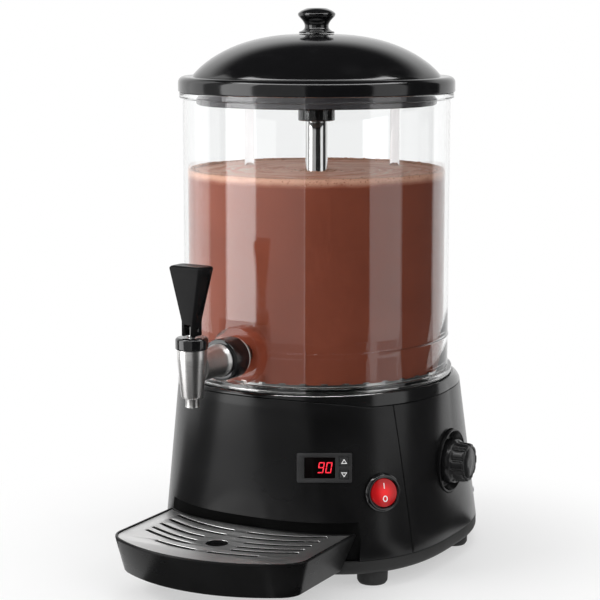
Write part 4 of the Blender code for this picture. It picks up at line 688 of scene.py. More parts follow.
# Painted shade: near black on the slots' steel sides, which lie in shadow.
SLOT_SIDE_PAINTED_SHADE = Brushed("slot_side_painted_shade", (0.02, 0.02, 0.02), 0.6, Way.ALONG_X)
STEEL_TAP = Brushed("tap_steel", (0.68, 0.67, 0.66), 0.31)
STEEL_BRIGHT = Polished("mirror_steel", (0.78, 0.775, 0.77))
ZINC = Brushed("plated_zinc", (0.5, 0.5, 0.53), 0.4, Way.ALONG_Z)
BRASS = Brushed("turned_brass", (0.72, 0.52, 0.22), 0.28)
CLEAR = Clear("clear_wall", (0.985, 0.99, 0.99), wave=0.004)
CLEAR_BEHIND = Clear("clear_behind_boss", (0.97, 0.97, 0.97), 1.05, 0.004)
CLEAR_BOSS = Clear("clear_boss", (0.84, 0.72, 0.68), 1.05, 0.004, 0.8)
CLEAR_ROD = Clear("clear_bar", (0.84, 0.81, 0.81), 1.4)
CHOCOLATE = Drink("hot_chocolate", (0.27, 0.066, 0.034), (0.31, 0.08, 0.043), (0.5, 0.2, 0.12))
# The froth's colours are partly its own and partly raised to stand in for light that the clear wall keeps
# off, which is painted light; it also glows faintly.
GLOWING_DRINK_TOP = Surface("drink_surface_painted_glow", (0.78, 0.32, 0.2), (0.95, 0.54, 0.4), (1.0, 0.82, 0.7))
# The foam glows faintly: painted light.
GLOWING_FROTH = Foam("froth", (0.72, 0.4, 0.28), (0.4, 0.15, 0.09), (0.3, 0.077, 0.04), 377.5 * MM, 384 * MM)
RUBBER = Soft("foot_rubber", (0.018, 0.018, 0.018))
SILICONE = Soft("soft_silicone", (0.6, 0.6, 0.58), 0.45)
WHITE_PLASTIC = Moulded("white_moulding", (0.72, 0.72, 0.7), 0.4, dust=0.0)
# The rocker lights itself; its brighter middle and darker rim are a painted highlight and painted shade.
ROCKER_RED = Lamp("lit_lens", (0.6, 0.009, 0.012), 0.8, 12.5 * MM)
# This lens is unlit, yet it glows faintly and is brighter in the middle: painted light.
MODULE_RED = Lamp("unlit_lens_with_painted_glow", (0.25, 0.01, 0.008), 0.1, 20 * MM)
SMOKED = Glossy("smoked_pane", (0.003, 0.002, 0.002), 0.12, coat=0.0, specular=0.05)
GREEN_BOARD = Board("lacquered_board", (0.02, 0.14, 0.06), (0.12, 0.3, 0.12))
# The white ink's glow is painted light; the ink is no lamp.
GLOWING_WHITE_INK = Print("white_ink", (0.85, 0.85, 0.85), 0.15)
RED_DIGIT = Print("lit_digit", (0.8, 0.01, 0.03), 0.85)

HIDDEN_FINISHES: Tuple[Tuple[Finish, Tuple[str, ...]], ...] = (
    (ZINC, ("tray_shelf", "motor_bracket", "gear_motor", "thermostat_body", "knob_screw")),
    (BRASS, ("shaft_bush", "knob_spindle")),
    (RUBBER, ("tank_seal",)),
    (SILICONE, ("floor_gasket", "tap_gasket", "seat_cup")),
    (WHITE_PLASTIC, ("stirrer_paddle", "lid_bearing", "terminal_block")),
    (STEEL, ("water_bath", "heating_element", "tank_floor")),
    (STEEL_BRIGHT, ("drive_shaft", "valve_stem", "handle_pin")),
    (GREEN_BOARD, ("display_board",)),
    (MODULE_RED, ("display_module",)),
)


def placed(name: str, data: bpy.types.ID) -> Piece:
    """Put new data into the scene.

    Args:
        name: the object's name.
        data: the mesh, curve, lamp or camera.

    Returns:
        The new object.
    """
    made = bpy.data.objects.new(name, data)
    bpy.context.scene.collection.objects.link(made)
    return made


def smoothed(mesh: bpy.types.Mesh, crease: float) -> None:
    """Shade a mesh smooth, apart from its sharp edges."""
    mesh.shade_smooth()
    mesh.set_sharp_from_angle(angle=math.radians(crease))


def blank(name: str, shape: bmesh.types.BMesh, place: Matrix, crease: float = CREASE) -> Piece:
    """Turn an edit mesh into a smooth piece with sharp edges kept.

    Args:
        name: the piece's name.
        shape: the edit mesh, which is freed.
        place: where the piece stands.
        crease: degrees from which an edge stays sharp.

    Returns:
        The new piece.
    """
    mesh = bpy.data.meshes.new(name)
    bmesh.ops.recalc_face_normals(shape, faces=shape.faces)
    shape.to_mesh(mesh)
    shape.free()
    made = placed(name, mesh)
    made.matrix_world = place
    smoothed(mesh, crease)
    return made


def arc(centre: Point2, radius: float, start: float, end: float, steps: int) -> Profile:
    """Points along an arc from one angle in degrees to another, both ends included."""
    turns = [math.radians(start + (end - start) * i / steps) for i in range(steps + 1)]
    return [(centre[0] + radius * math.cos(turn), centre[1] + radius * math.sin(turn)) for turn in turns]


def parted(outline: Profile, height: float) -> Profile:
    """Add a point to each side of a closed outline that passes the height.

    Args:
        outline: the points, as distance from the axis and height.
        height: where to part the sides.

    Returns:
        The points with the new ones between them.
    """
    points: Profile = []
    for before, after in zip([outline[-1], *outline[:-1]], outline):
        if min(before[1], after[1]) < height < max(before[1], after[1]):
            share = (height - before[1]) / (after[1] - before[1])
            points.append((before[0] + (after[0] - before[0]) * share, height))
        points.append(after)
    return points


def bend(start: Vector, corner: Vector, end: Vector, steps: int) -> Profile:
    """Points along the bend from start to end that leans towards a corner."""
    return [tuple(start.lerp(corner, share).lerp(corner.lerp(end, share), share)) for share in shares(steps)]


def softened(points: Profile, radius: float, steps: int = 3, closed: bool = True) -> Profile:
    """Round every corner of an outline.

    Args:
        points: the outline.
        radius: the largest radius; a short side takes a smaller one.
        steps: steps on each round.
        closed: whether the last point joins the first.

    Returns:
        The outline with its corners rounded.
    """
    found: Profile = []
    count = len(points)
    for i in range(count):
        here = Vector(points[i])
        if not closed and i in (0, count - 1):
            found.append(tuple(here))
            continue
        before = Vector(points[i - 1]) - here
        after = Vector(points[(i + 1) % count]) - here
        reach = min(radius, before.length * 0.45, after.length * 0.45)
        start = here + before.normalized() * reach
        end = here + after.normalized() * reach
        found += bend(start, here, end, steps)
    return found


def joined(shape: bmesh.types.BMesh, rows: List[list], closed: bool) -> None:
    """Add the faces between rows of as many corners each.

    Args:
        shape: the edit mesh.
        rows: the rows; a row on the axis holds one corner many times.
        closed: whether the last row joins the first.
    """
    count = len(rows[0])
    for below, above in zip(rows, rows[1:] + rows[:1] if closed else rows[1:]):
        for i in range(count):
            j = (i + 1) % count
            corners = list(dict.fromkeys((below[i], below[j], above[j], above[i])))
            if len(corners) > 2:
                shape.faces.new(corners)


def turned(name: str, points: Profile, place: Matrix, closed: bool = False, steps: int = 96,
           crease: float = CREASE) -> Piece:
    """A turned piece from a profile of radius and height.

    Args:
        name: the piece's name.
        points: the profile. An open one starts and ends on the axis.
        place: where the piece stands.
        closed: whether the profile is a closed ring.
        steps: facets round the axis.
        crease: degrees from which an edge stays sharp.

    Returns:
        The new piece.
    """
    shape = bmesh.new()
    rows = []
    for radius, height in points:
        if radius < WELD:
            rows.append([shape.verts.new((0.0, 0.0, height))] * steps)
        else:
            rows.append([shape.verts.new(polar(radius, angle, height)) for angle in angles(steps)])
    joined(shape, rows, closed)
    return blank(name, shape, place, crease)


def skinned(name: str, rings: List[Ring], place: Matrix, capped: bool = True,
            crease: float = CREASE) -> Piece:
    """A skin through rings of as many points each.

    Args:
        name: the piece's name.
        rings: the rings, in order.
        place: where the piece stands.
        capped: closed with a face at both ends, or else joined into a loop of rings.
        crease: degrees from which an edge stays sharp.

    Returns:
        The new piece.
    """
    shape = bmesh.new()
    rows = [[shape.verts.new(point) for point in ring] for ring in rings]
    joined(shape, rows, not capped)
    if capped:
        shape.faces.new(rows[-1])
        shape.faces.new(rows[0][::-1])
    return blank(name, shape, place, crease)


def final_mesh(piece: Piece) -> bpy.types.Mesh:
    """A new mesh of the piece with its modifiers applied."""
    bpy.context.view_layer.update()
    return bpy.data.meshes.new_from_object(piece.evaluated_get(bpy.context.evaluated_depsgraph_get()))


def solid_of(name: str, curve: bpy.types.Curve, place: Matrix) -> Piece:
    """Turn a thick curve into a piece, and throw the curve away.

    Args:
        name: the piece's name.
        curve: the curve.
        place: where the piece stands.

    Returns:
        The new piece.
    """
    drawn = placed(name + "_outline", curve)
    mesh = final_mesh(drawn)
    shape = bmesh.new()
    shape.from_mesh(mesh)
    bmesh.ops.remove_doubles(shape, verts=shape.verts, dist=0.005 * MM)
    bpy.data.meshes.remove(mesh)
    bpy.data.objects.remove(drawn, do_unlink=True)
    bpy.data.curves.remove(curve)
    return blank(name, shape, place, 30.0)


def plate(name: str, outlines: List[Profile], thickness: float, edge: float,
          place: Matrix) -> Piece:
    """A flat piece with holes and soft edges, about its middle plane.

    Args:
        name: the piece's name.
        outlines: the outer outline first, then the holes.
        thickness: the whole thickness.
        edge: width of the soft edge.
        place: where the piece stands.

    Returns:
        The new piece, as a mesh.
    """
    curve = bpy.data.curves.new(name, "CURVE")
    curve.dimensions = "2D"
    curve.fill_mode = "BOTH"
    curve.extrude = thickness / 2 - edge
    curve.bevel_depth = edge
    curve.bevel_resolution = 1
    curve.offset = -edge
    for outline in outlines:
        line = curve.splines.new("POLY")
        line.points.add(len(outline) - 1)
        for point, (x, y) in zip(line.points, outline):
            point.co = (x, y, 0.0, 1.0)
        line.use_cyclic_u = True
    return solid_of(name, curve, place)


def block(name: str, size: Point3, place: Matrix) -> Piece:
    """A plain box about its centre.

    Args:
        name: the piece's name.
        size: its three sizes.
        place: where the piece stands.

    Returns:
        The new piece.
    """
    shape = bmesh.new()
    bmesh.ops.create_cube(shape, size=1.0)
    bmesh.ops.scale(shape, vec=Vector(size), verts=shape.verts)
    return blank(name, shape, place, 50.0)


def rounded(width: float, height: float, corner: float) -> Profile:
    """A rectangle with round corners about its centre.

    Args:
        width: its width.
        height: its height.
        corner: the radius of its corners.

    Returns:
        The outline.
    """
    points: Profile = []
    for i, (sx, sy) in enumerate(((1, 1), (-1, 1), (-1, -1), (1, -1))):
        centre = (sx * (width / 2 - corner), sy * (height / 2 - corner))
        points += arc(centre, corner, i * 90, (i + 1) * 90, 6)
    return points


def shaped(piece: Piece, tool: Piece, operation: str = "DIFFERENCE",
           crease: float = CREASE) -> Piece:
    """Cut a piece with a tool, or join the tool to it, and throw the tool away.

    Args:
        piece: the piece.
        tool: the cutter.
        operation: the Boolean operation.
        crease: degrees from which an edge stays sharp.

    Returns:
        The piece.
    """
    step = piece.modifiers.new("shape", "BOOLEAN")
    step.operation = operation
    step.solver = "EXACT"
    step.object = tool
    made = final_mesh(piece)
    piece.modifiers.remove(step)
    old = piece.data
    piece.data = made
    made.name = old.name
    bpy.data.meshes.remove(old)
    bpy.data.objects.remove(tool, do_unlink=True)
    smoothed(made, crease)
    return piece


def drilled(piece: Piece, radius: float, start: float, end: float, place: Matrix,
            steps: int = 96, crease: float = CREASE) -> None:
    """Cut a round hole into a piece along the Z of a place, from one distance to another."""
    profile = [(0.0, start), (radius, start), (radius, end), (0.0, end)]
    shaped(piece, turned("drill", profile, place, steps=steps), crease=crease)


@dataclass
class Assembly:
    """A sub-assembly and the pieces that it has made."""

    pieces: List[Piece] = field(default_factory=list)

    def dress(self, piece: Piece, body: str, finish: Finish, slot: str, *nodes: str) -> None:
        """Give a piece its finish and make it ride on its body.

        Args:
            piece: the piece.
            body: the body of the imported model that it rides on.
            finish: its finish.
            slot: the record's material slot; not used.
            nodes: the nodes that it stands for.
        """
        piece.data.materials.clear()
        piece.data.materials.append(finish.material())
        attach(piece, body)
        if nodes:
            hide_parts(*nodes)
        self.pieces.append(piece)
        LOG.info("%s: %s on %s", type(self).__name__, piece.name, body)

    def make(self) -> None:
        """Make every piece of the sub-assembly."""
        raise NotImplementedError


@dataclass(frozen=True)
class Wall:
    """The base's wall: squarish below and round above, with a crest at the middle of its front."""

    half_width: float = 146 * MM
    front: float = 137 * MM
    rear: float = 167 * MM
    square: float = 2.7
    top_half_width: float = 137 * MM
    top_front: float = 135 * MM
    top_rear: float = 161 * MM
    top_square: float = 2.0
    least_radius: float = 138.4 * MM
    bottom: float = 27 * MM
    top: float = 171.3 * MM
    crest_rise: float = 9 * MM
    crest_reach: float = math.radians(49.0)
    crest_power: float = 2.2
    steps: int = 240

    @staticmethod
    def power(value: float, exponent: float) -> float:
        """A signed power."""
        return math.copysign(abs(value) ** exponent, value)

    def point(self, angle: float, height: float, inset: float = 0.0) -> Vector:
        """A point of the wall in plan.

        Args:
            angle: plan angle, in radians.
            height: height above the ground.
            inset: how far inside the outer face.

        Returns:
            The point.
        """
        share = min(max((height - self.bottom) / (self.top - self.bottom), 0.0), 1.0)
        spots = []
        for half, front, rear, square in (
            (self.half_width, self.front, self.rear, self.square),
            (self.top_half_width, self.top_front, self.top_rear, self.top_square),
        ):
            x = (half - inset) * self.power(math.cos(angle), 2 / square)
            y = (rear - front) / 2 + ((rear + front) / 2 - inset) * self.power(math.sin(angle), 2 / square)
            spots.append(Vector((x, y)))
        low, high = spots
        if high.length < self.least_radius - inset:
            high = high.normalized() * (self.least_radius - inset)
        return low.lerp(high, share)

    def ring(self, height: float, inset: float = 0.0) -> Ring:
        """One level of the wall."""
        return [(*self.point(angle, height, inset), height) for angle in angles(self.steps)]

    def circle(self, radius: float, height: float) -> Ring:
        """A circle with as many points as the wall's rings."""
        return [polar(radius, angle, height) for angle in angles(self.steps)]

    def crest_ring(self, rise: float = 0.0, inset: float = 0.0) -> Ring:
        """The wall's top edge, which stands up in a crest at the front.

        Args:
            rise: how far above the edge.
            inset: how far inside the outer face.

        Returns:
            The ring.
        """
        found = []
        for angle in angles(self.steps):
            edge = self.point(angle, self.top)
            away = abs(math.atan2(edge.x, -edge.y)) / self.crest_reach
            height = self.top + self.crest_rise * max(0.0, 1 - away ** self.crest_power) + rise
            found.append((*self.point(angle, self.top, inset), height))
        return found

    def solve(self, height: float, low: float, high: float, test: Callable[[Vector], bool]) -> float:
        """The plan angle at which a test on the wall's point turns.

        Args:
            height: height above the ground.
            low: an angle where the test holds.
            high: an angle where it doesn't.
            test: the test.

        Returns:
            The angle between them.
        """
        for _ in range(40):
            middle = (low + high) / 2
            if test(self.point(middle, height)):
                low = middle
            else:
                high = middle
        return low

    def angle_at(self, x: float, height: float) -> float:
        """The plan angle of the front right wall at a distance from the centre line."""
        return self.solve(height, -math.pi / 2, 0.0, lambda spot: spot.x < x)

    def front_at(self, x: float, height: float) -> float:
        """Where the front wall lies at a distance from the centre line."""
        return self.point(self.angle_at(abs(x), height), height).y

    def side_at(self, y: float, height: float) -> float:
        """How far the right wall lies from the centre line."""
        angle = self.solve(height, -math.pi / 2, math.pi / 2, lambda spot: spot.y < y)
        return self.point(angle, height).x

    def frame(self, angle: float, height: float) -> Matrix:
        """A place on the wall whose -Y points out of it and whose Z runs up along it.

        Args:
            angle: plan angle, in radians.
            height: height above the ground.

        Returns:
            The place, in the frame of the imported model.
        """
        step = math.radians(1)
        rise = 3 * MM
        spot = self.point(angle, height)
        along = self.point(angle + step, height) - self.point(angle - step, height)
        along = Vector((*along, 0.0)).normalized()
        lean = self.point(angle, height + rise) - self.point(angle, height - rise)
        up = Vector((*lean, 2 * rise)).normalized()
        out = along.cross(up).normalized()
        up = out.cross(along).normalized()
        turn = Matrix((along, -out, up)).transposed().to_4x4()
        return AXIS @ moved(spot.x, spot.y, height) @ turn

    def front_frame(self, x: float, height: float) -> Matrix:
        """Such a place at the front right, at a distance from the centre line."""
        return self.frame(self.angle_at(x, height), height)


WALL = Wall()
DISPLAY_PLACE = WALL.front_frame(72.5 * MM, 116.7 * MM)
SWITCH_PLACE = WALL.front_frame(116.6 * MM, 90.5 * MM)
KNOB_Y = 13.7 * MM
KNOB_HEIGHT = 102 * MM
DISH_RIM = WALL.side_at(KNOB_Y, KNOB_HEIGHT) + 2.67 * MM
DIAL_PLACE = AXIS @ moved(0.0, KNOB_Y, KNOB_HEIGHT) @ SIDEWAYS
GLAND_PLACE = WALL.frame(math.radians(56.0), 50 * MM) @ FACING
TRAY_BOTTOM = 20.6 * MM
TRAY_TOP = 54.7 * MM
SCREW_ANGLE = math.radians(41.0)
SCREW_PLACES = tuple(WALL.frame(angle, 44 * MM) @ FACING for angle in (SCREW_ANGLE, math.pi - SCREW_ANGLE))


@dataclass
class Housing(Assembly):
    """The base's housing: pan, feet, the two shells with their seams, the niche and the deck."""

    wall: float = 3 * MM
    fit: float = 0.3 * MM
    shell_bottom: float = 27.3 * MM
    edge: float = 0.8 * MM
    seam_y: float = 62 * MM
    seam_lean: float = 9 * MM
    seam_groove: float = 0.85 * MM
    pan_bottom: float = 13.6 * MM
    pan_tuck: float = 5 * MM
    niche_reach: float = 104 * MM
    niche_depth: float = 6 * MM
    niche_top: float = 64 * MM
    niche_out: float = 15 * MM
    niche_corner: float = 6 * MM
    lip_radius: float = 137.6 * MM
    lip_top: float = 183.6 * MM
    lip_inner: float = 133.8 * MM
    floor_top: float = 175.2 * MM
    opening: float = 116.5 * MM
    under_floor: float = 125.5 * MM
    spigot_bottom: float = 166 * MM
    display_hole: Point3 = (52.6 * MM, 28.6 * MM, 1.8 * MM)
    switch_hole: float = 16.4 * MM
    dish_hole: float = 31.9 * MM
    gland_hole: float = 8.4 * MM
    screw_hole: float = 3.4 * MM
    vents: int = 5
    vent_height: float = 78 * MM
    vent_pitch: float = 9 * MM
    vent_size: Point3 = (64 * MM, 3.2 * MM, 1.568 * MM)
    tongue_size: Point3 = (104.6 * MM, 137 * MM, 2.6 * MM)
    tongue_y: float = -160 * MM
    tongue_height: float = 19.3 * MM
    foot_radius: float = 15 * MM
    foot_height: float = 13.3 * MM

    def shell(self, name: str) -> Piece:
        """Make the whole wall, before it is cut into the two shells.

        Args:
            name: the piece's name.

        Returns:
            The wall.
        """
        low, top, soft = self.shell_bottom, WALL.top, self.edge
        levels = [low + soft + (top - soft - low - soft) * share for share in shares(8)]
        rings = [WALL.ring(low, soft * 0.8), WALL.ring(low + soft * 0.35, soft * 0.25)]
        rings += [WALL.ring(height) for height in levels]
        rings += [WALL.crest_ring(-soft * 0.6), WALL.crest_ring(-soft * 0.25, soft * 0.18)]
        rings += [WALL.crest_ring(0.0, soft * 0.6), WALL.crest_ring(0.0, self.wall)]
        rings += [WALL.ring(height, self.wall) for height in (top - soft, (low + top) / 2, low)]
        return skinned(name, rings, AXIS, capped=False)

    def seam_half(self, forward: float) -> Piece:
        """Make a large block on one side of the leaning seam.

        Args:
            forward: 1 for the back side, or else -1.

        Returns:
            The block.
        """
        lean = math.atan2(self.seam_lean, WALL.top - WALL.bottom)
        deep = 2 * (WALL.front + WALL.rear)
        place = AXIS @ moved(0.0, -self.seam_y, WALL.bottom) @ Matrix.Rotation(lean, 4, "X")
        place = place @ moved(0.0, forward * (deep - self.fit) / 2, 0.0)
        return block("seam_half", (4 * WALL.half_width, deep, 3 * WALL.top), place)

    def groove(self, side: int) -> Piece:
        """Make a thin cutter along a seam, which gives both shells a soft edge there.

        Args:
            side: 1 for the right side, or else -1.

        Returns:
            The cutter.
        """
        curve = bpy.data.curves.new("seam_line", "CURVE")
        curve.dimensions = "3D"
        curve.bevel_depth = self.seam_groove
        curve.bevel_resolution = 2
        curve.use_fill_caps = True
        line = curve.splines.new("POLY")
        levels = [self.shell_bottom - 4 * MM + 9 * MM * i for i in range(18)]
        line.points.add(len(levels) - 1)
        for point, height in zip(line.points, levels):
            y = -self.seam_y - self.seam_lean * (height - WALL.bottom) / (WALL.top - WALL.bottom)
            point.co = (side * WALL.side_at(y, height), y, height, 1.0)
        return solid_of("seam_tool", curve, AXIS)

    def niche(self, reach: float, depth: float, low: float, high: float, outer: float) -> Piece:
        """A block along the front wall, for the tray's niche.

        Args:
            reach: half of its width.
            depth: how far behind the wall its back lies.
            low: its bottom.
            high: its top.
            outer: how far behind the wall its front lies.

        Returns:
            The block.
        """
        corner = self.niche_corner
        back = []
        for share in shares(48):
            x = reach * (1 - 2 * share)
            short = max(0.0, abs(x) - reach + corner) / corner
            curve = corner * (1 - math.sqrt(max(0.0, 1 - short ** 2))) * 0.6
            back.append((x, WALL.front_at(x, TRAY_BOTTOM) + depth - curve))
        front = [(x, WALL.front_at(x, TRAY_TOP) + outer) for x, _ in reversed(back)]
        rings = [[(x, y, height) for x, y in back + front] for height in (low, high)]
        return skinned("niche_block", rings, AXIS)

    def openings(self, front: Piece, rear: Piece) -> None:
        """Cut what is set into the two shells, the vents and the soft edges of the seams.

        Args:
            front: the front shell.
            rear: the rear shell.
        """
        bezel = DISPLAY_PLACE @ FACING
        shaped(front, plate("display_tool", [rounded(*self.display_hole)], 40 * MM, 0.1 * MM, bezel))
        drilled(front, self.switch_hole, 22 * MM, -22 * MM, SWITCH_PLACE @ FACING)
        drilled(rear, self.dish_hole, 14 * MM, -14 * MM, DIAL_PLACE @ moved(z=DISH_RIM))
        for i in range(self.vents):
            height = self.vent_height + i * self.vent_pitch
            place = AXIS @ moved(0.0, WALL.point(math.pi / 2, height).y, height) @ FACING
            shaped(rear, plate("vent_tool", [rounded(*self.vent_size)], 30 * MM, 0.1 * MM, place))
        drilled(rear, self.gland_hole, 16 * MM, -16 * MM, GLAND_PLACE)
        for place in SCREW_PLACES:
            drilled(rear, self.screw_hole, 14 * MM, -14 * MM, place)
        for side in (-1, 1):
            shaped(front, self.groove(side))
            shaped(rear, self.groove(side))

    def shells(self) -> None:
        """Make the front and rear shells with all that is cut in them."""
        front = shaped(self.shell("front_shell_skin"), self.seam_half(1.0))
        rear = shaped(self.shell("rear_shell_skin"), self.seam_half(-1.0))
        wall, reach, depth, top = self.wall, self.niche_reach, self.niche_depth, self.niche_top
        lining = self.niche(reach + wall, depth + wall, self.shell_bottom + self.fit, top + wall, wall / 2)
        shaped(front, lining, "UNION")
        shaped(front, self.niche(reach, depth, 0.0, top, -self.niche_out))
        self.openings(front, rear)
        self.dress(front, "base", SATIN_BLACK, "satin_black", "front_shell")
        self.paint_niche_shade(front)
        self.dress(rear, "base", SATIN_BLACK, "satin_black", "rear_shell")

    def paint_niche_shade(self, front: Piece) -> None:
        """Paint the niche darker and duller than the shell: painted shade, where hardly any light reaches.

        Args:
            front: the front shell.
        """
        front.data.materials.append(NICHE_PAINTED_SHADE.material())
        top, reach, within = self.niche_top + 0.01 * MM, self.niche_reach + 0.01 * MM, 0.5 * MM
        # The faces inside the niche take the painted shade.
        for face in front.data.polygons:
            x, y, z = face.center
            if z < top and abs(x) < reach and WALL.front_at(x, z) + within < y < 0.0:
                face.material_index = 1

    def deck(self) -> None:
        """Make the top deck: a soft shoulder up to the lip round the tank, and the floor under the seal."""
        rings = [WALL.crest_ring(self.fit, self.wall), WALL.crest_ring(self.fit, 0.6 * MM)]
        start = WALL.crest_ring(self.fit + 0.7 * MM)
        lip, top, inner, floor = self.lip_radius, self.lip_top, self.lip_inner, self.floor_top
        end = WALL.circle(lip, top - 0.9 * MM)
        for share in shares(9):
            out = 0.6 * share + 0.4 * (1 - math.cos(share * math.pi / 2))
            rise = 0.6 * share + 0.4 * math.sin(share * math.pi / 2)
            ring = []
            for (ax, ay, az), (bx, by, bz) in zip(start, end):
                ring.append((ax + (bx - ax) * out, ay + (by - ay) * out, az + (bz - az) * rise))
            rings.append(ring)
        under = floor - self.wall
        section = ((lip - 0.3 * MM, top - 0.3 * MM), ((lip + inner) / 2, top),
                   (inner + 0.4 * MM, top - 0.2 * MM), (inner, top - 0.9 * MM), (inner, floor + 0.5 * MM),
                   (inner - 0.6 * MM, floor), (self.opening, floor), (self.opening, under),
                   (self.under_floor, under))
        rings += [WALL.circle(radius, height) for radius, height in section]
        spigot = self.wall + self.fit
        rings += [WALL.ring(self.spigot_bottom, spigot + self.wall), WALL.ring(self.spigot_bottom, spigot),
                  WALL.crest_ring(self.fit, spigot)]
        deck = skinned("deck_skin", rings, AXIS, capped=False)
        self.dress(deck, "base", DECK_BLACK, "satin_black", "top_deck")

    def pan(self) -> None:
        """Make the base pan, tucked in below, with the notch of the tray's tongue."""
        low, high, tuck = self.pan_bottom, WALL.bottom, self.pan_tuck
        rings = [WALL.ring(low, tuck)]
        for share in shares(6)[1:]:
            angle = math.pi / 2 * share
            rings.append(WALL.ring(low + tuck * (1 - math.cos(angle)), tuck * (1 - math.sin(angle))))
        rings += [WALL.ring(high - 0.7 * MM), WALL.ring(high - 0.2 * MM, 0.2 * MM), WALL.ring(high, 0.7 * MM)]
        rings += [WALL.ring(high, self.wall), WALL.ring(18 * MM, self.wall + tuck / 2)]
        pan = skinned("pan_skin", rings, AXIS)
        place = AXIS @ moved(0.0, self.tongue_y, self.tongue_height)
        shaped(pan, block("tongue_tool", self.tongue_size, place))
        self.dress(pan, "base", MATT_BLACK, "matt_black", "base_pan")

    def feet(self) -> None:
        """Make the four rubber feet, with a soft edge and a shallow ring under each."""
        top, radius = self.foot_height, self.foot_radius
        outline = [(radius, top), (radius - 0.4 * MM, 2.4 * MM), (radius - 2.2 * MM, 0.0)]
        ring = in_mm((9, 0), (8.4, 0.8), (0, 0.8))
        profile = [(0.0, top), *softened(outline, 1.2 * MM, closed=False), *ring]
        for node in ("foot_front_left", "foot_front_right", "foot_rear_left", "foot_rear_right"):
            foot = turned(node + "_rubber", profile, Matrix.Translation(middle_of(node)))
            self.dress(foot, "base", RUBBER, "rubber", node)

    def make(self) -> None:
        """Make the housing."""
        self.shells()
        self.deck()
        self.pan()
        self.feet()


@dataclass
class RearFittings(Assembly):
    """The cord gland and the two screws of the rear shell."""

    nose: float = 12 * MM
    flange: float = 3.9 * MM
    ribs: int = 4
    gland_back: Points = ((8, -12), (8, 0.9), (11, 0.9), (11, 3.9))
    gland_bore: Points = ((8, 12), (4.6, 12), (4.6, -12))
    head: float = 5.4 * MM
    head_top: float = 4.5 * MM
    cross: Point3 = (5 * MM, 1 * MM, 3 * MM)

    def gland(self) -> None:
        """Make the gland with its ribbed nose."""
        profile = in_mm(*self.gland_back)
        step = (self.nose - self.flange) / self.ribs
        for i in range(self.ribs):
            height = self.flange + (self.nose - self.flange) * i / self.ribs
            radius = (11.0 - 0.7 * i) * MM
            profile += [(radius - 0.3 * MM, height + 0.2 * step), (radius - 0.3 * MM, height + 0.7 * step),
                        (radius - 1.1 * MM, height + 0.8 * step), (radius - 1.1 * MM, height + step)]
        profile = softened(profile + in_mm(*self.gland_bore), 0.25 * MM, 2)
        gland = turned("gland_body", profile, GLAND_PLACE, closed=True)
        self.dress(gland, "base", MATT_BLACK, "matt_black", "cord_gland")

    def screws(self) -> None:
        """Make the cross-headed screws."""
        head = [(0.0, self.head_top)] + arc((0.0, -0.9 * MM), self.head, 80, 22, 6)
        head += in_mm((5.4, 0.6), (3, 0.5), (3, -12), (0, -12))
        for name, place in zip(("right", "left"), SCREW_PLACES):
            screw = turned("screw_" + name, head, place, steps=48)
            for turn in (0.0, math.pi / 2):
                cross = place @ moved(z=self.head_top) @ Matrix.Rotation(turn, 4, "Z")
                shaped(screw, block("cross_tool", self.cross, cross))
            self.dress(screw, "base", ZINC, "zinc_plate", "rear_screw_" + name)

    def make(self) -> None:
        """Make the rear fittings."""
        self.gland()
        self.screws()


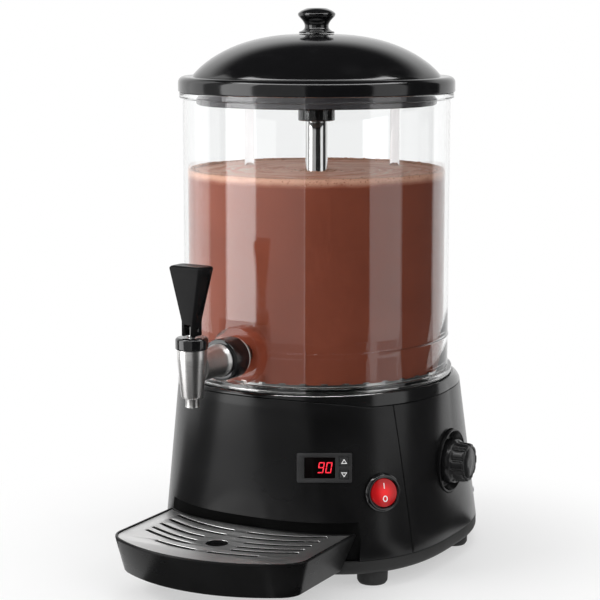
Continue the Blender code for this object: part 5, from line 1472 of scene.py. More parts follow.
@dataclass
class Display(Assembly):
    """The display: textured bezel, dark window with red digits, and two keys with printed triangles."""

    bezel: Point3 = (52 * MM, 28 * MM, 1.6 * MM)
    depth: float = 8 * MM
    proud: float = 1 * MM
    gap: float = 0.6 * MM
    window: Point2 = (28.4 * MM, 19.2 * MM)
    window_shift: float = -4.4 * MM
    key: Point2 = (8.4 * MM, 8 * MM)
    key_depth: float = 7.6 * MM
    key_proud: float = 1.4 * MM
    key_shift: float = 18.4 * MM
    key_rise: float = 6.2 * MM
    figures: Tuple[Tuple[str, float], ...] = (("abcdfg", 1.3 * MM), ("abcdef", 8.6 * MM))
    digit_height: float = 10.4 * MM
    digit_width: float = 5.6 * MM
    digit_thickness: float = 0.04 * MM
    stroke: float = 1.05 * MM
    slant: float = 0.16

    def hole(self, size: Point2, corner: float, x: float, y: float) -> Profile:
        """The outline of a hole round a part of some size, about a point of the bezel."""
        return [(px + x, py + y) for px, py in rounded(size[0] + self.gap, size[1] + self.gap, corner)]

    def make(self) -> None:
        """Make the bezel, window, digits and keys."""
        facing = DISPLAY_PLACE @ FACING
        outlines = [rounded(*self.bezel), self.hole(self.window, 0.6 * MM, self.window_shift, 0.0)]
        for rise in (self.key_rise, -self.key_rise):
            outlines.append(self.hole(self.key, 0.8 * MM, self.key_shift, rise))
        middle = facing @ moved(z=self.proud - self.depth / 2)
        bezel = plate("bezel_frame", outlines, self.depth, 0.35 * MM, middle)
        self.dress(bezel, "base", BEZEL_GREY, "satin_black", "display_bezel")
        middle = facing @ moved(self.window_shift, 0.0, self.proud - 0.9 * MM)
        pane = plate("window_pane", [rounded(*self.window, 0.5 * MM)], 1.2 * MM, 0.12 * MM, middle)
        self.dress(pane, "base", SMOKED, "smoked_window", "display_window")
        self.digits(facing)
        self.press_key("up_key", "up_button", 1, facing)
        self.press_key("down_key", "down_button", -1, facing)

    def press_key(self, body: str, node: str, up: int, facing: Matrix) -> None:
        """Make a key and the white outline of a triangle, printed on it.

        Args:
            body: the key's body.
            node: the key's node.
            up: 1 if it stands above and points up, or else -1.
            facing: the place of the bezel, with its Z out of the wall.
        """
        rise = up * self.key_rise
        middle = facing @ moved(self.key_shift, rise, self.key_proud - self.key_depth / 2)
        key = plate(node + "_cap", [rounded(*self.key, 0.7 * MM)], self.key_depth, 0.4 * MM, middle)
        self.dress(key, body, BEZEL_GREY, "satin_black", node)
        outer = in_mm((0.0, up * 2.5), (-2.9, -up * 2.1), (2.9, -up * 2.1))
        inner = [(x * 0.6, (y + up * 0.35 * MM) * 0.6 - up * 0.35 * MM) for x, y in outer]
        face = facing @ moved(self.key_shift, rise, self.key_proud) @ moved(z=0.02 * MM)
        mark = plate(node + "_mark", [outer, inner], 0.06 * MM, 0.01 * MM, face)
        self.dress(mark, body, GLOWING_WHITE_INK, "white_plastic")

    def digits(self, facing: Matrix) -> None:
        """Make the lit number, in slanted seven-segment figures.

        Args:
            facing: the place of the bezel, with its Z out of the wall.
        """
        place = facing @ moved(0.0, 0.2 * MM, self.proud - 0.27 * MM)
        for number, (lit, x) in enumerate(self.figures, 1):
            shape = bmesh.new()
            for segment in lit:
                self.segment(shape, segment, x + self.window_shift)
            made = blank(f"digit_{number}", shape, place)
            made.modifiers.new("thickness", "SOLIDIFY").thickness = self.digit_thickness
            self.dress(made, "base", RED_DIGIT, "red_lens")

    def segment(self, shape: bmesh.types.BMesh, name: str, x: float) -> None:
        """Add one segment of a figure to an edit mesh.

        Args:
            shape: the edit mesh.
            name: the segment's letter, a to g.
            x: the figure's middle.
        """
        wide, tall, half = self.digit_width / 2, self.digit_height / 2, self.stroke / 2
        rows = {"a": tall - half, "g": 0.0, "d": half - tall}
        side = wide - half
        columns = {"b": (side, 1), "c": (side, -1), "e": (-side, -1), "f": (-side, 1)}
        gap = half * 1.15
        if name in rows:
            y, end = rows[name], wide - gap
            line = [(-end - half, y), (-end, y + half), (end, y + half), (end + half, y), (end, y - half),
                    (-end, y - half)]
        else:
            column, share = columns[name]
            low, high = sorted((0.0, share * (tall - half)))
            low, high = low + gap * 0.9, high - gap * 0.3
            line = [(column, low - half), (column + half, low), (column + half, high), (column, high + half),
                    (column - half, high), (column - half, low)]
        corners = [shape.verts.new((x + px + self.slant * py, py, 0.0)) for px, py in line]
        shape.faces.new(corners)


@dataclass
class PowerSwitch(Assembly):
    """The round power switch: glossy ring and lit red rocker with its two marks."""

    ring: Points = ((14.3, 3.5), (15.1, 4.2), (16.8, 4.2), (18.6, 2.2), (18.6, 0.8))
    barrel: Points = ((15.8, 0.8), (15.8, -19), (0, -19), (0, -10.8), (14.3, -10.8))
    proud: float = 4.2 * MM
    rocker: float = 13.5 * MM
    rocker_side: Points = ((13, 2.7), (13.5, 2), (10.4, -9))
    face: float = 3 * MM
    crown: float = 0.6 * MM
    dish: float = 0.9 * MM
    tilt: float = math.radians(7.0)
    bar: Point3 = (0.8 * MM, 5.4 * MM, 0.25 * MM)
    circle: Points = ((2.5 * MM, 3 * MM), (1.55 * MM, 2.05 * MM))

    def make(self) -> None:
        """Make the ring, the rocker and its marks."""
        profile = softened(in_mm(*self.ring), 0.9 * MM, 4, closed=False) + in_mm(*self.barrel)
        housing = turned("switch_ring", profile, SWITCH_PLACE @ FACING, closed=True, steps=128)
        self.dress(housing, "base", GLOSS_BLACK, "gloss_black", "rocker_housing")
        pivot = SWITCH_PLACE @ moved(0.0, self.face - self.proud, 0.0)
        pivot = pivot @ Matrix.Rotation(-self.tilt, 4, "X") @ FACING
        top = self.face + self.crown
        profile = [(self.rocker * share, top - self.dish * share ** 2) for share in shares(8)[:-1]]
        profile += softened(in_mm(*self.rocker_side), 0.5 * MM, 3, closed=False) + in_mm((0, -9))
        rocker = turned("rocker_cap", profile, pivot, steps=128)
        self.dress(rocker, "rocker", ROCKER_RED, "red_lens", "power_rocker")
        circle = arc((0.0, 0.0), 1.0, 0, 345, 23)
        rings = [[(wide * x, tall * y) for x, y in circle] for wide, tall in self.circle]
        face = pivot @ moved(z=top)
        for name, outlines, y, sunk in (("mark_on", [rounded(*self.bar)], 6.4 * MM, 0.16 * MM),
                                        ("mark_off", rings, -5.8 * MM, 0.12 * MM)):
            mark = plate(name, outlines, 0.3 * MM, 0.02 * MM, face @ moved(0.0, y, -sunk))
            self.dress(mark, "rocker", GLOWING_WHITE_INK, "white_plastic")


@dataclass
class Thermostat(Assembly):
    """The thermostat: a dished ring in the side and the fluted knob."""

    dish: Points = ((31.4, 0), (29.6, -10.4), (4.4, -10.4), (4.4, -8), (25.6, -8), (29, -1.2),
                    (29.6, 0))
    grip: Points = ((21.4, -5.6), (21.8, -5), (21.5, 3.8), (20.8, 5), (19.7, 5.8), (19.4, 7.4),
                    (19, 15.8), (18.7, 17.1), (17.9, 17.8), (17, 18), (15.6, 18), (15.2, 17.5),
                    (14.4, 17.5), (14, 17.9), (4, 17.9))
    fluted: Tuple[float, ...] = (0, 0, 0, 0.3, 0.8, 1.0, 1.0, 0.95, 0.8, 0.5, 0, 0, 0, 0, 0)
    flutes: int = 10
    flute_depth: float = 1.9 * MM
    steps: int = 240

    def make(self) -> None:
        """Make the dish, and the knob: a skirt, a fluted grip and a plain disc set in its face."""
        outline = softened(in_mm(*self.dish, above=DISH_RIM), 1 * MM, 4)
        dish = turned("dish_ring", outline, DIAL_PLACE, closed=True, steps=128)
        self.dress(dish, "base", SATIN_BLACK, "satin_black", "knob_dish")
        rings = []
        for (radius, height), share in zip(in_mm(*self.grip, above=DISH_RIM), self.fluted):
            ring = []
            for angle in angles(self.steps):
                wave = max(0.0, math.cos(self.flutes * angle)) ** 1.5
                ring.append(polar(radius - self.flute_depth * share * wave, angle, height))
            rings.append(ring)
        knob = skinned("knob_grip", rings, DIAL_PLACE, crease=50.0)
        self.dress(knob, "dial", KNOB_BLACK, "satin_black", "side_knob")


@dataclass
class DripTray(Assembly):
    """The drip tray and its slotted grid."""

    half_width: float = 101 * MM
    front: float = 256.6 * MM
    bow: float = 164 * MM
    corner: float = 15 * MM
    back: float = -0.4 * MM
    grid_top: float = 53.7 * MM
    grid_thickness: float = 2 * MM
    slot_width: float = 5 * MM
    hole_radius: float = 10.6 * MM
    hole_y: float = 198 * MM
    rows: Tuple[Point3, ...] = ((155, 6, 82), (171, 6, 82), (187, 21, 82),
                                (201, 21, 82), (212, 21, 82), (226, 6, 55))
    section: Points = ((9.9, 20.6), (8.8, 20.9), (8.1, 22), (0.9, 49.1), (0.25, 51.7), (0, 52.7),
                       (0.05, 53.9), (0.35, 54.45), (0.9, 54.7), (1.7, 54.7), (2.2, 54.5), (2.4, 54.1),
                       (2.4, 51.4), (5.8, 51.4), (6.1, 51), (11, 25.6), (13.4, 23.2))

    def bowed(self, x: float, front: float, bow: float) -> float:
        """The bowed front line at a distance from the centre line."""
        return -front + bow - math.sqrt(bow ** 2 - x ** 2)

    def outline(self, inset: float) -> Profile:
        """The tray's plan.

        Args:
            inset: how far inside the lip's outer edge.

        Returns:
            The outline, from its back right corner on.
        """
        half, front, bow = self.half_width - inset, self.front - inset, self.bow - inset
        corner = self.corner - inset / 2
        points = []
        for share in shares(40):
            x = half * (1 - 2 * share)
            points.append((x, WALL.front_at(x, TRAY_BOTTOM) + self.back - inset))
        reach = half - corner
        low = Vector((half, self.bowed(half, front, bow)))
        after = Vector((reach, self.bowed(reach, front, bow)))
        curve = bend(low + Vector((0.0, corner)), low, after, 10)
        points += [(-x, y) for x, y in curve]
        for share in shares(40)[1:-1]:
            x = reach * (2 * share - 1)
            points.append((x, self.bowed(x, front, bow)))
        return points + curve[::-1]

    def tray(self) -> None:
        """Make the tray, with a rounded lip, drafted sides and a soft foot."""
        rings = [[(x, y, height) for x, y in self.outline(inset)] for inset, height in in_mm(*self.section)]
        tray = skinned("tray_basin", rings, AXIS)
        self.dress(tray, "tray", TRAY_BLACK, "satin_black", "drip_tray")

    def slot(self, front: float, start: float, end: float, side: int) -> Profile:
        """One curved slot with round ends.

        Args:
            front: its distance in front of the axis, at the centre line.
            start: its inner end.
            end: its outer end.
            side: 1 for the right side, or else -1.

        Returns:
            Its outline.
        """
        half = self.slot_width / 2
        steps = 14
        line = []
        for i in range(steps + 1):
            x = start + half + (end - start - self.slot_width) * i / steps
            line.append((x, self.bowed(x, front, self.bow)))
        near = [(x, y - half) for x, y in line]
        far = [(x, y + half) for x, y in reversed(line)]
        slope = (line[-1][1] - line[-2][1]) / (line[-1][0] - line[-2][0])
        outer = math.degrees(math.atan(slope))
        path = near + arc(line[-1], half, -90 + outer * 0.5, 90 + outer * 0.5, 8)[1:-1]
        path += far + arc(line[0], half, 90, 270, 8)[1:-1]
        return path if side > 0 else [(-x, y) for x, y in reversed(path)]

    def grid(self) -> None:
        """Make the steel grid: slots whose sides are painted near black as painted shade, a round drain hole,
        and soft bright edges.
        """
        edge = self.outline(2.7 * MM)
        outlines = [edge, [(x, y - self.hole_y) for x, y in arc((0.0, 0.0), self.hole_radius, 0, 354, 59)]]
        for front, start, end in self.rows:
            for side in (-1, 1):
                outlines.append(self.slot(front * MM, start * MM, end * MM, side))
        middle = AXIS @ moved(z=self.grid_top - self.grid_thickness / 2)
        grid = plate("grid_plate", outlines, self.grid_thickness, 0.45 * MM, middle)
        self.dress(grid, "grid", STEEL_SHEET, "brushed_steel", "drip_grid")
        grid.data.materials.append(SLOT_SIDE_PAINTED_SHADE.material())
        rim = [((x0 + x1) / 2, (y0 + y1) / 2) for (x0, y0), (x1, y1) in zip(edge, edge[1:] + edge[:1])]
        # The slots' sides, not the grid's outer edge, take the painted shade.
        for face in grid.data.polygons:
            if abs(face.normal.z) < 0.3 and min(math.dist(face.center[:2], spot) for spot in rim) > 0.5 * MM:
                face.material_index = 1

    def make(self) -> None:
        """Make the tray and the grid."""
        self.tray()
        self.grid()


@dataclass
class Tank(Assembly):
    """The clear tank with its flange, bead, lip and tap boss, and the chocolate in it."""

    section: Points = ((127.4, 461), (134.8, 461), (134.8, 455), (131.4, 455), (131.4, 222.65),
                       (132, 222.3), (132, 221.7), (131.4, 221.35), (131.4, 190.6), (135.3, 190.6),
                       (135.3, 184.8), (122, 184.8), (122, 187.7), (127.4, 187.7))
    outside: float = 131.7 * MM
    inside: float = 127.5 * MM
    above_boss: float = 250 * MM
    boss: Points = ((27.5, 128.4), (27.5, 142.3), (14, 142.3))
    boss_round: float = 1.4 * MM
    boss_reach: float = 28 * MM
    bore: float = 9.5 * MM
    nut: Points = ((0, 100), (20.2, 100), (20.2, 124.75), (13.5, 126.1), (9.6, 126.1), (9.6, 140),
                   (0, 140))
    drink_radius: float = 126.9 * MM
    drink_top: float = 386.3 * MM
    drink_bottom: float = 192.2 * MM
    under_surface: float = 3.6 * MM
    foam_bottom: float = 377.3 * MM
    skin: float = 15 * MM
    tube: float = 11.5 * MM
    rods: Points = ((-85.3 * MM, 15.5 * MM), (45.8 * MM, 85.2 * MM))
    rod_room: float = 5.6 * MM

    def wall(self) -> None:
        """Make the wall, turned, with the boss joined to its front and the tap's bore through it."""
        outline = parted(softened(in_mm(*self.section), 0.9 * MM, 3), self.above_boss)
        wall = turned("tank_shell", outline, TURNED, closed=True, steps=192)
        boss = softened(in_mm(*self.boss), self.boss_round, 4, closed=False)
        boss = [*in_mm((0, 128.4)), *boss, *in_mm((0, 142.3))]
        shaped(wall, turned("boss_tool", boss, TAP_PLACE @ FACING, steps=128), "UNION")
        drilled(wall, self.bore, 109 * MM, 146 * MM, TAP_PLACE @ FACING, 64)
        wall.data.transform(AXIS.inverted() @ TURNED)
        wall.matrix_world = AXIS
        self.dress(wall, "tank", CLEAR, "clear_tank", "tank_wall")
        wall.data.materials.append(CLEAR_BOSS.material())
        wall.data.materials.append(CLEAR_BEHIND.material())
        back = TAP_PLACE.inverted() @ AXIS
        for face in wall.data.polygons:
            x, y, z = back @ face.center
            if y < 0.0 and math.hypot(x, z) < self.boss_reach:
                if math.hypot(x, y) > self.outside:
                    face.material_index = 1
                elif math.hypot(x, y) < self.inside:
                    face.material_index = 2

    def drink(self) -> None:
        """Make the chocolate: a skin along the wall and under the surface, with room for the stirrer."""
        r, top, low = self.drink_radius, self.drink_top, self.drink_bottom
        under, inside = top - self.under_surface, r - self.skin
        profile = [(inside, low), (r, low), (r, under), (self.tube, under), (self.tube, top - self.skin),
                   (inside, top - self.skin)]
        drink = turned("chocolate_fill", profile, TURNED, closed=True, steps=192)
        shaped(drink, turned("nut_tool", in_mm(*self.nut), TAP_PLACE @ FACING, steps=48))
        self.with_rod_holes(drink)
        self.dress(drink, "tank", CHOCOLATE, "white_plastic")
        self.surface(under)

    def with_rod_holes(self, piece: Piece) -> None:
        """Cut the room of the two clear rods."""
        for x, y in self.rods:
            drilled(piece, self.rod_room, 30 * MM, -30 * MM, AXIS @ moved(x, y, self.drink_top), 32)

    def surface(self, under: float) -> None:
        """Make the frothy surface: faint rings, drawn up a little at the wall and down at the tube.

        Args:
            under: height of the chocolate's own top, on which the surface lies.
        """
        edge = self.drink_radius - 0.2 * MM
        level = self.drink_top - 2.2 * MM
        profile = [(self.tube, under + 0.05 * MM), (edge, under + 0.05 * MM)]
        for share in shares(60):
            ripple = 0.3 * MM * math.sin(share * 41.0) * (1 - share) - 1 * MM * share ** 4
            profile.append((edge + (self.tube - edge) * share, level + 0.8 * MM * (1 - share) ** 9 + ripple))
        surface = turned("chocolate_surface", profile, TURNED, closed=True, steps=192)
        self.with_rod_holes(surface)
        self.dress(surface, "tank", GLOWING_DRINK_TOP, "white_plastic")

    def foam(self) -> None:
        """Make the ring of foam along the wall, with an uneven edge and bubbles on it."""
        chance = random.Random(11)
        low, top, r = self.foam_bottom, self.drink_top, self.drink_radius + 0.15 * MM
        waves = [(chance.uniform(0.1, 0.45) * MM, count, chance.uniform(0, math.tau))
                 for count in (5, 9, 17, 31, 53)]
        rings: List[Ring] = [[] for _ in range(7)]
        for angle in angles(288):
            edge = sum(size * math.sin(count * angle + start) for size, count, start in waves)
            end = r - (7.5 * MM + 2.2 * edge)
            section = ((r - 2 * MM, low - 0.5 * MM + edge * 0.5), (r, low + edge * 0.6),
                       (r, top - 1.2 * MM + edge * 0.3), (r - 0.7 * MM, top - 0.2 * MM + edge * 0.3),
                       (r - 3 * MM, top + edge * 0.2), (end, top - 1.4 * MM),
                       (end - 0.8 * MM, top - 3.2 * MM))
            for ring, (radius, height) in zip(rings, section):
                ring.append(polar(radius, angle, height))
        foam = skinned("foam_ring", rings, TURNED, capped=False, crease=60.0)
        self.dress(foam, "tank", GLOWING_FROTH, "white_plastic")
        self.bubbles(chance)

    def bubbles(self, chance: random.Random) -> None:
        """Make the bubbles on the foam and round the tube, joined into one piece.

        Args:
            chance: the seeded source of their places and sizes.
        """
        shape = bmesh.new()
        for _ in range(520):
            angle = chance.uniform(0, math.tau)
            size = chance.uniform(0.5, 1.7) * MM
            if chance.random() < 0.75:
                radius = self.drink_radius - 0.9 * MM - size - abs(chance.gauss(0, 2.6)) * MM
                height = self.drink_top - chance.uniform(0.2, 1.4) * MM
            else:
                radius = self.tube + size + 1 * MM + abs(chance.gauss(0, 5.0)) * MM
                height = self.drink_top - 3.2 * MM
            turned_spot = polar(radius, angle + TANK_TURN, height)[:2]
            if any(math.dist(turned_spot, rod) < 6 * MM + size for rod in self.rods):
                continue
            spot = moved(*polar(radius, angle, height))
            squash = Matrix.Diagonal((1.0, 1.0, 0.75, 1.0))
            bmesh.ops.create_icosphere(shape, subdivisions=1, radius=size, matrix=spot @ squash)
        made = blank("foam_bubbles", shape, TURNED, 80.0)
        self.dress(made, "tank", GLOWING_FROTH, "white_plastic")

    def make(self) -> None:
        """Make the tank and what is in it."""
        self.wall()
        self.drink()
        self.foam()


@dataclass
class Stirrer(Assembly):
    """The steel tube and its drive cap."""

    tube: Points = ((10.9, 435.7), (10.9, 194), (8.6, 194), (8.6, 435.7))
    cap: Points = ((5, 452.9), (5, 444.5), (9, 444.3), (18.2, 444.3), (18.2, 432.6), (11.2, 432.6),
                   (11.2, 436))
    cap_hole: Points = ((5.4, 436), (5.4, 441.6), (0, 441.6))

    def make(self) -> None:
        """Make the tube and the cap."""
        tube = turned("stirrer_pipe", softened(in_mm(*self.tube), 0.4 * MM, 2), TURNED, closed=True)
        self.dress(tube, "stirrer", STEEL_BRIGHT, "polished_steel", "stirrer_tube")
        profile = softened(in_mm(*self.cap), 1.2 * MM, 4, closed=False)
        cap = turned("drive_cap", [*in_mm((0, 452.9)), *profile, *in_mm(*self.cap_hole)], TURNED)
        self.dress(cap, "stirrer", GLOSS_BLACK, "gloss_black", "stirrer_cap")


@dataclass
class Lid(Assembly):
    """The domed lid with its rolled rim, inner skirt and knob, and what hangs from it."""

    rim: float = 135.9 * MM
    bottom: float = 461.3 * MM
    shoulder: float = 475.9 * MM
    rim_round: float = 6 * MM
    dome_radius: float = 121.8 * MM
    rise: float = 41 * MM
    power: float = 2.6
    root: float = 1.2
    skirt: float = 117.5 * MM
    skirt_depth: float = 12.4 * MM
    socket: Points = ((14, 460), (5.7, 460), (5.7, 464.3), (3.3, 464.3))
    band: Points = ((118.2, 460.8), (118.2, 449.9), (117.55, 449.9), (117.55, 460.8))
    knob_bottom: float = 517.2 * MM
    knob_crown: Points = ((0, 24.7), (5, 24.6))
    knob_side: Points = ((10, 24.2), (15.6, 21.8), (18.6, 19.2), (18, 16.6), (13.4, 11.8), (11.6, 8),
                         (11.9, 4.6), (14.6, 2.6), (17.4, 1.6), (17.4, 0))
    knob_hole: Points = ((3.3, 0), (3.3, 12.3), (0, 12.3))
    disc: Points = ((114.7, 452.8), (114.7, 450.4), (9.3, 450.4), (9.3, 452.8))
    grooves: Tuple[float, ...] = (102.7 * MM, 78.7 * MM, 54.7 * MM)
    groove: Points = ((0, 0), (-0.4, 0.7), (-2.2, 0.7), (-2.6, 0))
    lug: Points = ((7.6, 451.8), (7.6, 446.4), (0, 446.4))
    rod_hole: float = 5.3 * MM
    rod: Points = ((0, 452.8), (4.7, 452.8), (5, 452.4), (5, 302), (4.4, 300.6), (3, 300),
                   (0, 300))

    def dome(self, radius: float, rise: float, steps: int) -> Profile:
        """The dome's curve from near its middle to its edge.

        Args:
            radius: the edge's radius.
            rise: the middle's height over the shoulder.
            steps: steps along the curve.

        Returns:
            The curve.
        """
        along = [math.sin(math.pi / 2 * share) for share in shares(steps)[1:]]
        heights = [rise * (1 - part ** self.power) ** (1 / self.root) for part in along]
        return [(radius * part, self.shoulder + height) for part, height in zip(along, heights)]

    def cover(self) -> None:
        """Make the dome, its rim and the skirt under it."""
        centre = (self.rim - self.rim_round, self.shoulder - self.rim_round)
        top, low, inner = self.shoulder + self.rise, self.bottom - self.skirt_depth, self.skirt - 2.5 * MM
        dome = self.dome(self.dome_radius, self.rise, 48)[:-1]
        foot = [dome[-1], (self.dome_radius + 0.6 * MM, self.shoulder), (centre[0], self.shoulder)]
        profile = [(3.3 * MM, top)] + dome + softened(foot, 1.6 * MM, 4, closed=False)[1:]
        profile += list(reversed(arc(centre, self.rim_round, 0, 90, 10)))[1:]
        edge = [(self.rim, self.bottom + 4 * MM), (self.rim, self.bottom), (self.skirt, self.bottom),
                (self.skirt, low), (inner, low), (inner, self.shoulder)]
        profile += softened(edge, 0.8 * MM, 3, closed=False)
        vault = self.dome(inner, self.rise - 3 * MM, 24)
        profile += [point for point in reversed(vault) if point[0] > 14.2 * MM]
        profile += [(14 * MM, top - 3.3 * MM)] + in_mm(*self.socket)
        cover = turned("lid_cover", profile, AXIS, closed=True, steps=192)
        self.dress(cover, "lid", LID_BLACK, "gloss_black", "lid_dome")
        band = turned("lid_band", softened(in_mm(*self.band), 0.2 * MM, 2), AXIS, closed=True, steps=192)
        self.dress(band, "lid", SKIRT_GREY, "satin_black")

    def knob(self) -> None:
        """Make the knob: flange, waisted neck and crowned cap."""
        low = self.knob_bottom
        side = softened(in_mm(*self.knob_side, above=low), 2.2 * MM, 5, closed=False)
        profile = [*in_mm(*self.knob_crown, above=low), *side, *in_mm(*self.knob_hole, above=low)]
        self.dress(turned("knob_top", profile, AXIS), "lid", GLOSS_BLACK, "gloss_black", "lid_knob")

    def hanging(self) -> None:
        """Make the plate under the dome with its lugs, and the two clear rods."""
        profile = softened(in_mm(*self.disc), 0.4 * MM, 2)
        low = self.disc[1][1] * MM
        for spot in self.grooves:
            index = next(n for n, (x, y) in enumerate(profile) if y <= low + 0.01 * MM and x < spot)
            profile[index:index] = [(spot + x, y) for x, y in in_mm(*self.groove, above=low)]
        disc = turned("lid_disc", profile, AXIS, closed=True, steps=160)
        lug = in_mm((0, 451.8)) + softened(in_mm(*self.lug), 0.7 * MM, 3, closed=False)
        for number in (1, 2):
            node = f"clear_rod_{number}"
            centre = Matrix.Translation(middle_of(node))
            shaped(disc, turned("lug_tool", lug, centre, steps=48), "UNION")
            drilled(disc, self.rod_hole, 455.8 * MM, 441.4 * MM, centre, 48)
            piece = turned(f"hanging_rod_{number}", in_mm(*self.rod), centre, steps=48)
            self.dress(piece, "lid", CLEAR_ROD, "clear_tank", node)
        self.dress(disc, "lid", MATT_BLACK, "matt_black", "lid_plate")

    def make(self) -> None:
        """Make the lid."""
        self.cover()
        self.knob()
        self.hanging()


@dataclass
class Tap(Assembly):
    """The tap: steel shank and barrel, black collar and bonnet, and the paddle lever."""

    reach: float = 210 * MM
    shank: Points = ((6, 112), (8.8, 112), (9.2, 112.6))
    flare: Points = ((9.2, 167.7), (16, 167.7), (16, 169.2), (14.6, 172.6), (14.2, 175), (14.2, 203))
    well: float = 9.6 * MM
    barrel: Points = ((9.5, 17.3), (13.5, 17.3), (13.55, 9), (10.1, -26.9), (9, -28.1), (6.4, -28.1),
                      (6.2, -35), (6.6, -36.4), (4.8, -36.4), (4.8, -28.7), (9.5, -21.7))
    port: float = 6 * MM
    collar: Points = ((19.6, 167.2), (19.6, 146.2), (18.4, 144.4), (9.5, 144.4), (9.5, 167.2))
    bonnet: Points = ((3.6, 28.2), (13.6, 28.2), (15.1, 26.6), (15.1, 17.6), (3.6, 17.6))
    nut_cone: Points = ((0, 90), (25, 90), (25, 123.3), (14.3, 125.9), (0, 125.9))
    pin: float = 35.3 * MM
    pin_hole: float = 1.9 * MM
    root: float = 14 * MM
    root_bottom: float = -5.6 * MM
    shoulder: float = 8 * MM
    lever: float = 58.6 * MM
    lever_round: float = 2.6 * MM
    lever_top: Point2 = (36.3 * MM, 21.7 * MM)
    crown: Points = ((1.5, 0.25), (0.7, 0.9), (0.15, 2.2), (0, 4.4))
    slot: Point3 = (7.2 * MM, 28 * MM, 13.8 * MM)
    panel: Point2 = (14 * MM, 51.5 * MM)
    panel_depth: float = 1.3 * MM

    def at_barrel(self) -> Matrix:
        """The place of the barrel's axis at the shank's height."""
        return TAP_PLACE @ moved(0.0, -self.reach, 0.0)

    def steel(self) -> None:
        """Make the shank with its flared ring, and the tapered barrel with its spout."""
        lying = TAP_PLACE @ FACING
        flare = softened(in_mm(*self.flare), 0.7 * MM, 4, closed=False)
        profile = [*in_mm(*self.shank), *flare, *in_mm((6, 203))]
        shank = turned("tap_shank", profile, lying, closed=True)
        drilled(shank, self.well, 17.2 * MM, -21.8 * MM, self.at_barrel(), 64)
        self.dress(shank, "tank", STEEL_TAP, "brushed_steel", "tap_body")
        outline = softened(in_mm(*self.barrel), 0.7 * MM, 3)
        barrel = turned("tap_barrel", outline, self.at_barrel(), closed=True)
        drilled(barrel, self.port, 185 * MM, 209 * MM, lying, 48)
        self.dress(barrel, "tank", STEEL_TAP, "brushed_steel")

    def plastic(self) -> None:
        """Make the collar behind the ring and the bonnet over the barrel."""
        for name, outline, edge, place, node in (
            ("collar_ring", self.collar, 1.3 * MM, TAP_PLACE @ FACING, "tap_collar"),
            ("bonnet_ring", self.bonnet, 0.9 * MM, self.at_barrel(), "tap_bonnet"),
        ):
            ring = turned(name, softened(in_mm(*outline), edge, 4), place, closed=True)
            self.dress(ring, "tank", GLOSS_BLACK, "gloss_black", node)

    def nut(self) -> None:
        """Make the nut behind the wall, with bevelled corners, so that the drink closes in front of them."""
        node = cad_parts["tap_back_nut"]
        nut = placed("bevelled_nut", node.data.copy())
        nut.matrix_world = node.matrix_world.copy()
        shaped(nut, turned("nut_cone", in_mm(*self.nut_cone), TAP_PLACE @ FACING, steps=96), "INTERSECT")
        self.dress(nut, "tank", MATT_BLACK, "matt_black", "tap_back_nut")

    def section(self, width: float, depth: float, height: float, corner: float) -> Ring:
        """One level of the lever."""
        return [(x, y, height) for x, y in rounded(width, depth, corner)]

    def handle(self) -> None:
        """Make the paddle lever: square root, drawn-out waist, wide top and sunk side panels."""
        place = self.at_barrel() @ moved(z=self.pin)
        root, (wide, deep) = self.root, self.lever_top
        low, shoulder, top = self.root_bottom, self.shoulder, self.lever
        rings = [self.section(root - 1 * MM, root - 1 * MM, low, 1.6 * MM),
                 self.section(root, root, low + 0.5 * MM, 1.8 * MM),
                 self.section(root, root, shoulder - 0.4 * MM, 1.8 * MM)]
        for share in shares(10)[1:]:
            height = shoulder + (top - self.lever_round - shoulder) * share
            rings.append(self.section(root + (wide - root) * share, root + (deep - root) * share, height,
                                      (1.8 + 1.4 * share) * MM))
        for drop, draw in self.crown:
            rings.append(self.section(wide - 2 * draw * MM, deep - 2 * draw * MM, top - drop * MM, 3.4 * MM))
        rings.append(self.section(wide - 14 * MM, deep - 12 * MM, top - 0.25 * MM, 3 * MM))
        lever = skinned("lever_paddle", rings, place, crease=50.0)
        for side in (-1, 1):
            shaped(lever, self.panel_tool(place, side), crease=50.0)
        shaped(lever, block("slot_tool", self.slot, place @ moved(z=-1.7 * MM)), crease=50.0)
        drilled(lever, self.pin_hole, 12 * MM, -12 * MM, place @ SIDEWAYS, 32, 50.0)
        self.dress(lever, "handle", LEVER_BLACK, "gloss_black", "tap_handle")

    def panel_tool(self, place: Matrix, side: int) -> Piece:
        """Make the cutter of a sunk side panel of the lever.

        Args:
            place: the lever's pivot.
            side: 1 for the right side, or else -1.

        Returns:
            The cutter.
        """
        root, (wide, deep), (low, high) = self.root, self.lever_top, self.panel
        rings = []
        for share in shares(6):
            height = low + (high - low) * share
            along = (height - self.shoulder) / (self.lever - self.lever_round - self.shoulder)
            inner = side * ((root + (wide - root) * along) / 2 - self.panel_depth)
            outer = side * ((root + (wide - root) * along) / 2 + 4 * MM)
            ends = math.sqrt(max(0.05, 1 - (2 * share - 1) ** 6))
            span = ((root + (deep - root) * along) / 2 - 3.4 * MM) * (0.35 + 0.65 * ends)
            rings.append([(inner, -span, height), (outer, -span, height), (outer, span, height),
                          (inner, span, height)])
        return skinned("panel_tool", rings, place)

    def make(self) -> None:
        """Make the tap."""
        self.steel()
        self.nut()
        self.plastic()
        self.handle()


@dataclass
class Inside(Assembly):
    """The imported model's own nodes that keep their shape and get a better finish."""

    def make(self) -> None:
        """Give each of them its finish."""
        for finish, nodes in HIDDEN_FINISHES:
            for node in nodes:
                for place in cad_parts[node].material_slots:
                    place.material = finish.material()
                LOG.info("Inside: %s in %s", node, finish.name)


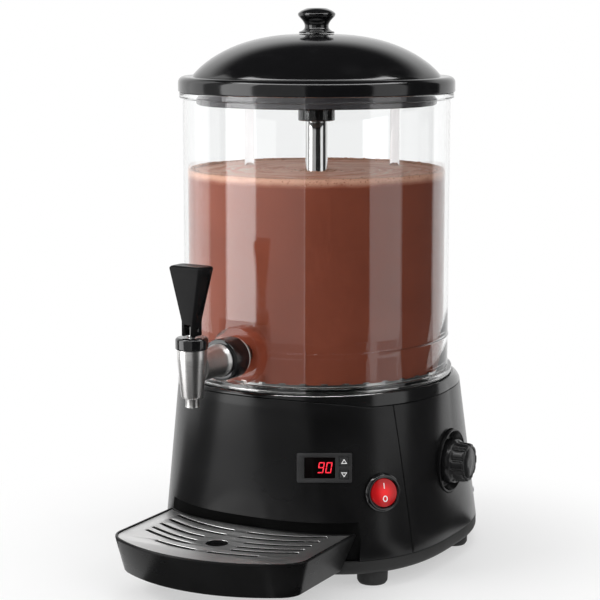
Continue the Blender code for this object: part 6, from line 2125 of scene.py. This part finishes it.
UPRIGHT = ((600 * MM, 70 * MM), (600 * MM, 970 * MM))
UPPER = ((600 * MM, 980 * MM), (600 * MM, 1250 * MM))
ALONG_FLOOR = ((200 * MM, 0.5 * MM), (600 * MM, 0.5 * MM), (600 * MM, 69.5 * MM))


@dataclass(frozen=True)
class Card:
    """A curved card round the tank's axis, from one azimuth to another, through two or more rings.

    Its gloss is how bright it looks when it is mirrored, and lit is how bright it is as a light.
    """

    start: float
    end: float
    gloss: float
    lit: float
    rings: Tuple[Point2, ...]


def aimed(piece: Piece, place: Point3, target: Point3) -> None:
    """Stand a camera or lamp at a place and turn it to a target."""
    piece.location = place
    piece.rotation_euler = (Vector(target) - Vector(place)).to_track_quat("-Z", "Y").to_euler()


def hidden(piece: Piece, *rays: str) -> None:
    """Hide a piece from some kinds of rays."""
    for ray in rays:
        setattr(piece, "visible_" + ray, False)


@dataclass
class Studio:
    """The camera, the pale floor, the lamps and the cards that the gloss reflects."""

    camera_place: Point3 = (835.3 * MM, -1576.4 * MM, 541.6 * MM)
    camera_target: Point3 = (-22.6 * MM, 37.15 * MM, 253.2 * MM)
    lens: float = 111.0
    seen_by: Tuple[str, ...] = ("Camera", "Glossy", "Transmission")
    lamp_target: Point3 = (0.0, 0.0, 0.25)
    soft_lamps: Tuple[Tuple[str, Point3, float, float], ...] = (
        ("key_lamp", (-1.5, -1.5, 1.7), 1.4, 34.0), ("fill_lamp", (1.9, -0.9, 1.5), 1.2, 10.0),
        ("top_lamp", (0.0, 0.5, 2.4), 1.6, 14.0),
    )
    cards: Tuple[Card, ...] = (
        Card(-180, -158.5, 1.3, 3.6, UPRIGHT), Card(-158, -138.5, 0.35, 3.6, UPRIGHT),
        Card(-138, -110.5, 3.6, 3.2, UPRIGHT), Card(-109.5, -72, 0.5, 2.3, UPRIGHT),
        Card(-71, -21, 0.02, 0.62, UPRIGHT), Card(-20, 7, 1.1, 0.9, UPRIGHT),
        Card(8, 47, 0.04, 0.6, UPRIGHT), Card(-150, 30, 8, 1, UPPER),
        Card(-180, -138.5, 0.08, 1.5, ALONG_FLOOR), Card(-138, -110.5, 1, 1.5, ALONG_FLOOR),
        Card(-109.5, -72, 0.1, 1, ALONG_FLOOR), Card(-71, -22, 0.02, 0.5, ALONG_FLOOR),
        Card(-21.5, -13, 1, 0.5, ALONG_FLOOR), Card(-12.5, 7, 0.04, 0.5, ALONG_FLOOR),
        Card(8, 47, 0.04, 0.5, ALONG_FLOOR),
    )

    def camera(self) -> None:
        """The photograph's camera."""
        data = bpy.data.cameras.new("photo_camera")
        data.lens = self.lens
        data.sensor_width = 36.0
        camera = placed("photo_camera", data)
        aimed(camera, self.camera_place, self.camera_target)
        bpy.context.scene.camera = camera

    def seen(self, graph: Graph) -> Value:
        """1 for the rays that see the background: straight, mirrored and through glass."""
        rays = [graph.add("LightPath", output=f"Is {ray} Ray") for ray in self.seen_by]
        return rays[0].larger(rays[1]).larger(rays[2]) * (1 - self.lighting(graph))

    @staticmethod
    def lighting(graph: Graph) -> Value:
        """1 for the rays that light a surface, also where they go through the clear wall."""
        return graph.add("LightPath", output="Diffuse Depth").smaller(1.0)

    def floor(self) -> None:
        """The floor: white where it is seen, and it keeps the object's shadow."""
        shape = bmesh.new()
        bmesh.ops.create_grid(shape, x_segments=1, y_segments=1, size=12.0)
        floor = blank("studio_floor", shape, moved(z=-0.2 * MM))
        graph = Graph(bpy.data.materials.new("studio_floor"))
        spot = graph.place()
        _, away, _ = graph.polar(spot)
        white = self.seen(graph) * away.ramp(0.2, 0.45, 0.5, 1.0)
        grain = graph.noise(spot, 6.0, 3.0)
        paint = graph.tint(grain, (0.86, 0.86, 0.86), (0.9, 0.9, 0.9))
        plain = graph.shader(base_color=paint, roughness=0.9, specular_IOR_level=0.0)
        floor.data.materials.append(graph.finish(graph.mixed(white, plain, graph.light(1.0))))

    def world(self) -> None:
        """A surround that is white up to a third of the way up, dark above, and lights the object softly."""
        world = bpy.data.worlds.new("studio")
        bpy.context.scene.world = world
        graph = Graph(world)
        _, _, height = graph.parts(graph.add("TexCoord", output="Generated"))
        kind = "Background"
        wall = graph.mixed(height.ramp(0.42, 0.68), graph.light(1.0, kind), graph.light(0.02, kind))
        surround = graph.mixed(self.seen(graph), graph.light(0.55, kind), wall)
        graph.finish(surround, "OutputWorld")

    def lamps(self) -> None:
        """A large soft lamp on the left and a weaker one on the right, for the diffuse light alone."""
        for name, place, size, power in self.soft_lamps:
            data = bpy.data.lights.new(name, "AREA")
            data.size = size
            data.energy = power
            lamp = placed(name, data)
            aimed(lamp, place, self.lamp_target)
            hidden(lamp, "glossy", "camera", "transmission")

    def reflectors(self) -> None:
        """The cards: the gloss mirrors them and the clear wall shows them, but they light nothing else."""
        steps = 24
        for number, card in enumerate(self.cards, 1):
            shape = bmesh.new()
            rows = []
            for radius, height in card.rings:
                spots = arc((0.0, 0.0), radius, card.start, card.end, steps)
                rows.append([shape.verts.new((x, y, height)) for x, y in spots])
            for below, above in zip(rows, rows[1:]):
                for i in range(steps):
                    shape.faces.new((below[i], below[i + 1], above[i + 1], above[i]))
            piece = blank(f"studio_card_{number}", shape, AXIS)
            graph = Graph(bpy.data.materials.new(piece.name))
            light = graph.mixed(self.lighting(graph), graph.light(card.gloss), graph.light(card.lit))
            piece.data.materials.append(graph.finish(light))
            hidden(piece, "camera", "diffuse", "shadow", "volume_scatter")

    def make(self) -> None:
        """Make the studio."""
        bpy.context.scene.view_settings.view_transform = "Standard"
        self.camera()
        self.floor()
        self.world()
        self.lamps()
        self.reflectors()


def main() -> None:
    """Build the studio and the sub-assemblies in order."""
    logging.basicConfig(level=logging.INFO, format="%(message)s")
    Studio().make()
    for kind in (Housing, RearFittings, Display, PowerSwitch, Thermostat, DripTray,
                 Tank, Stirrer, Lid, Tap, Inside):
        part = kind()
        part.make()
        LOG.info("%s: %d pieces", type(part).__name__, len(part.pieces))
    bpy.context.view_layer.update()


if __name__ == "__main__":
    main()
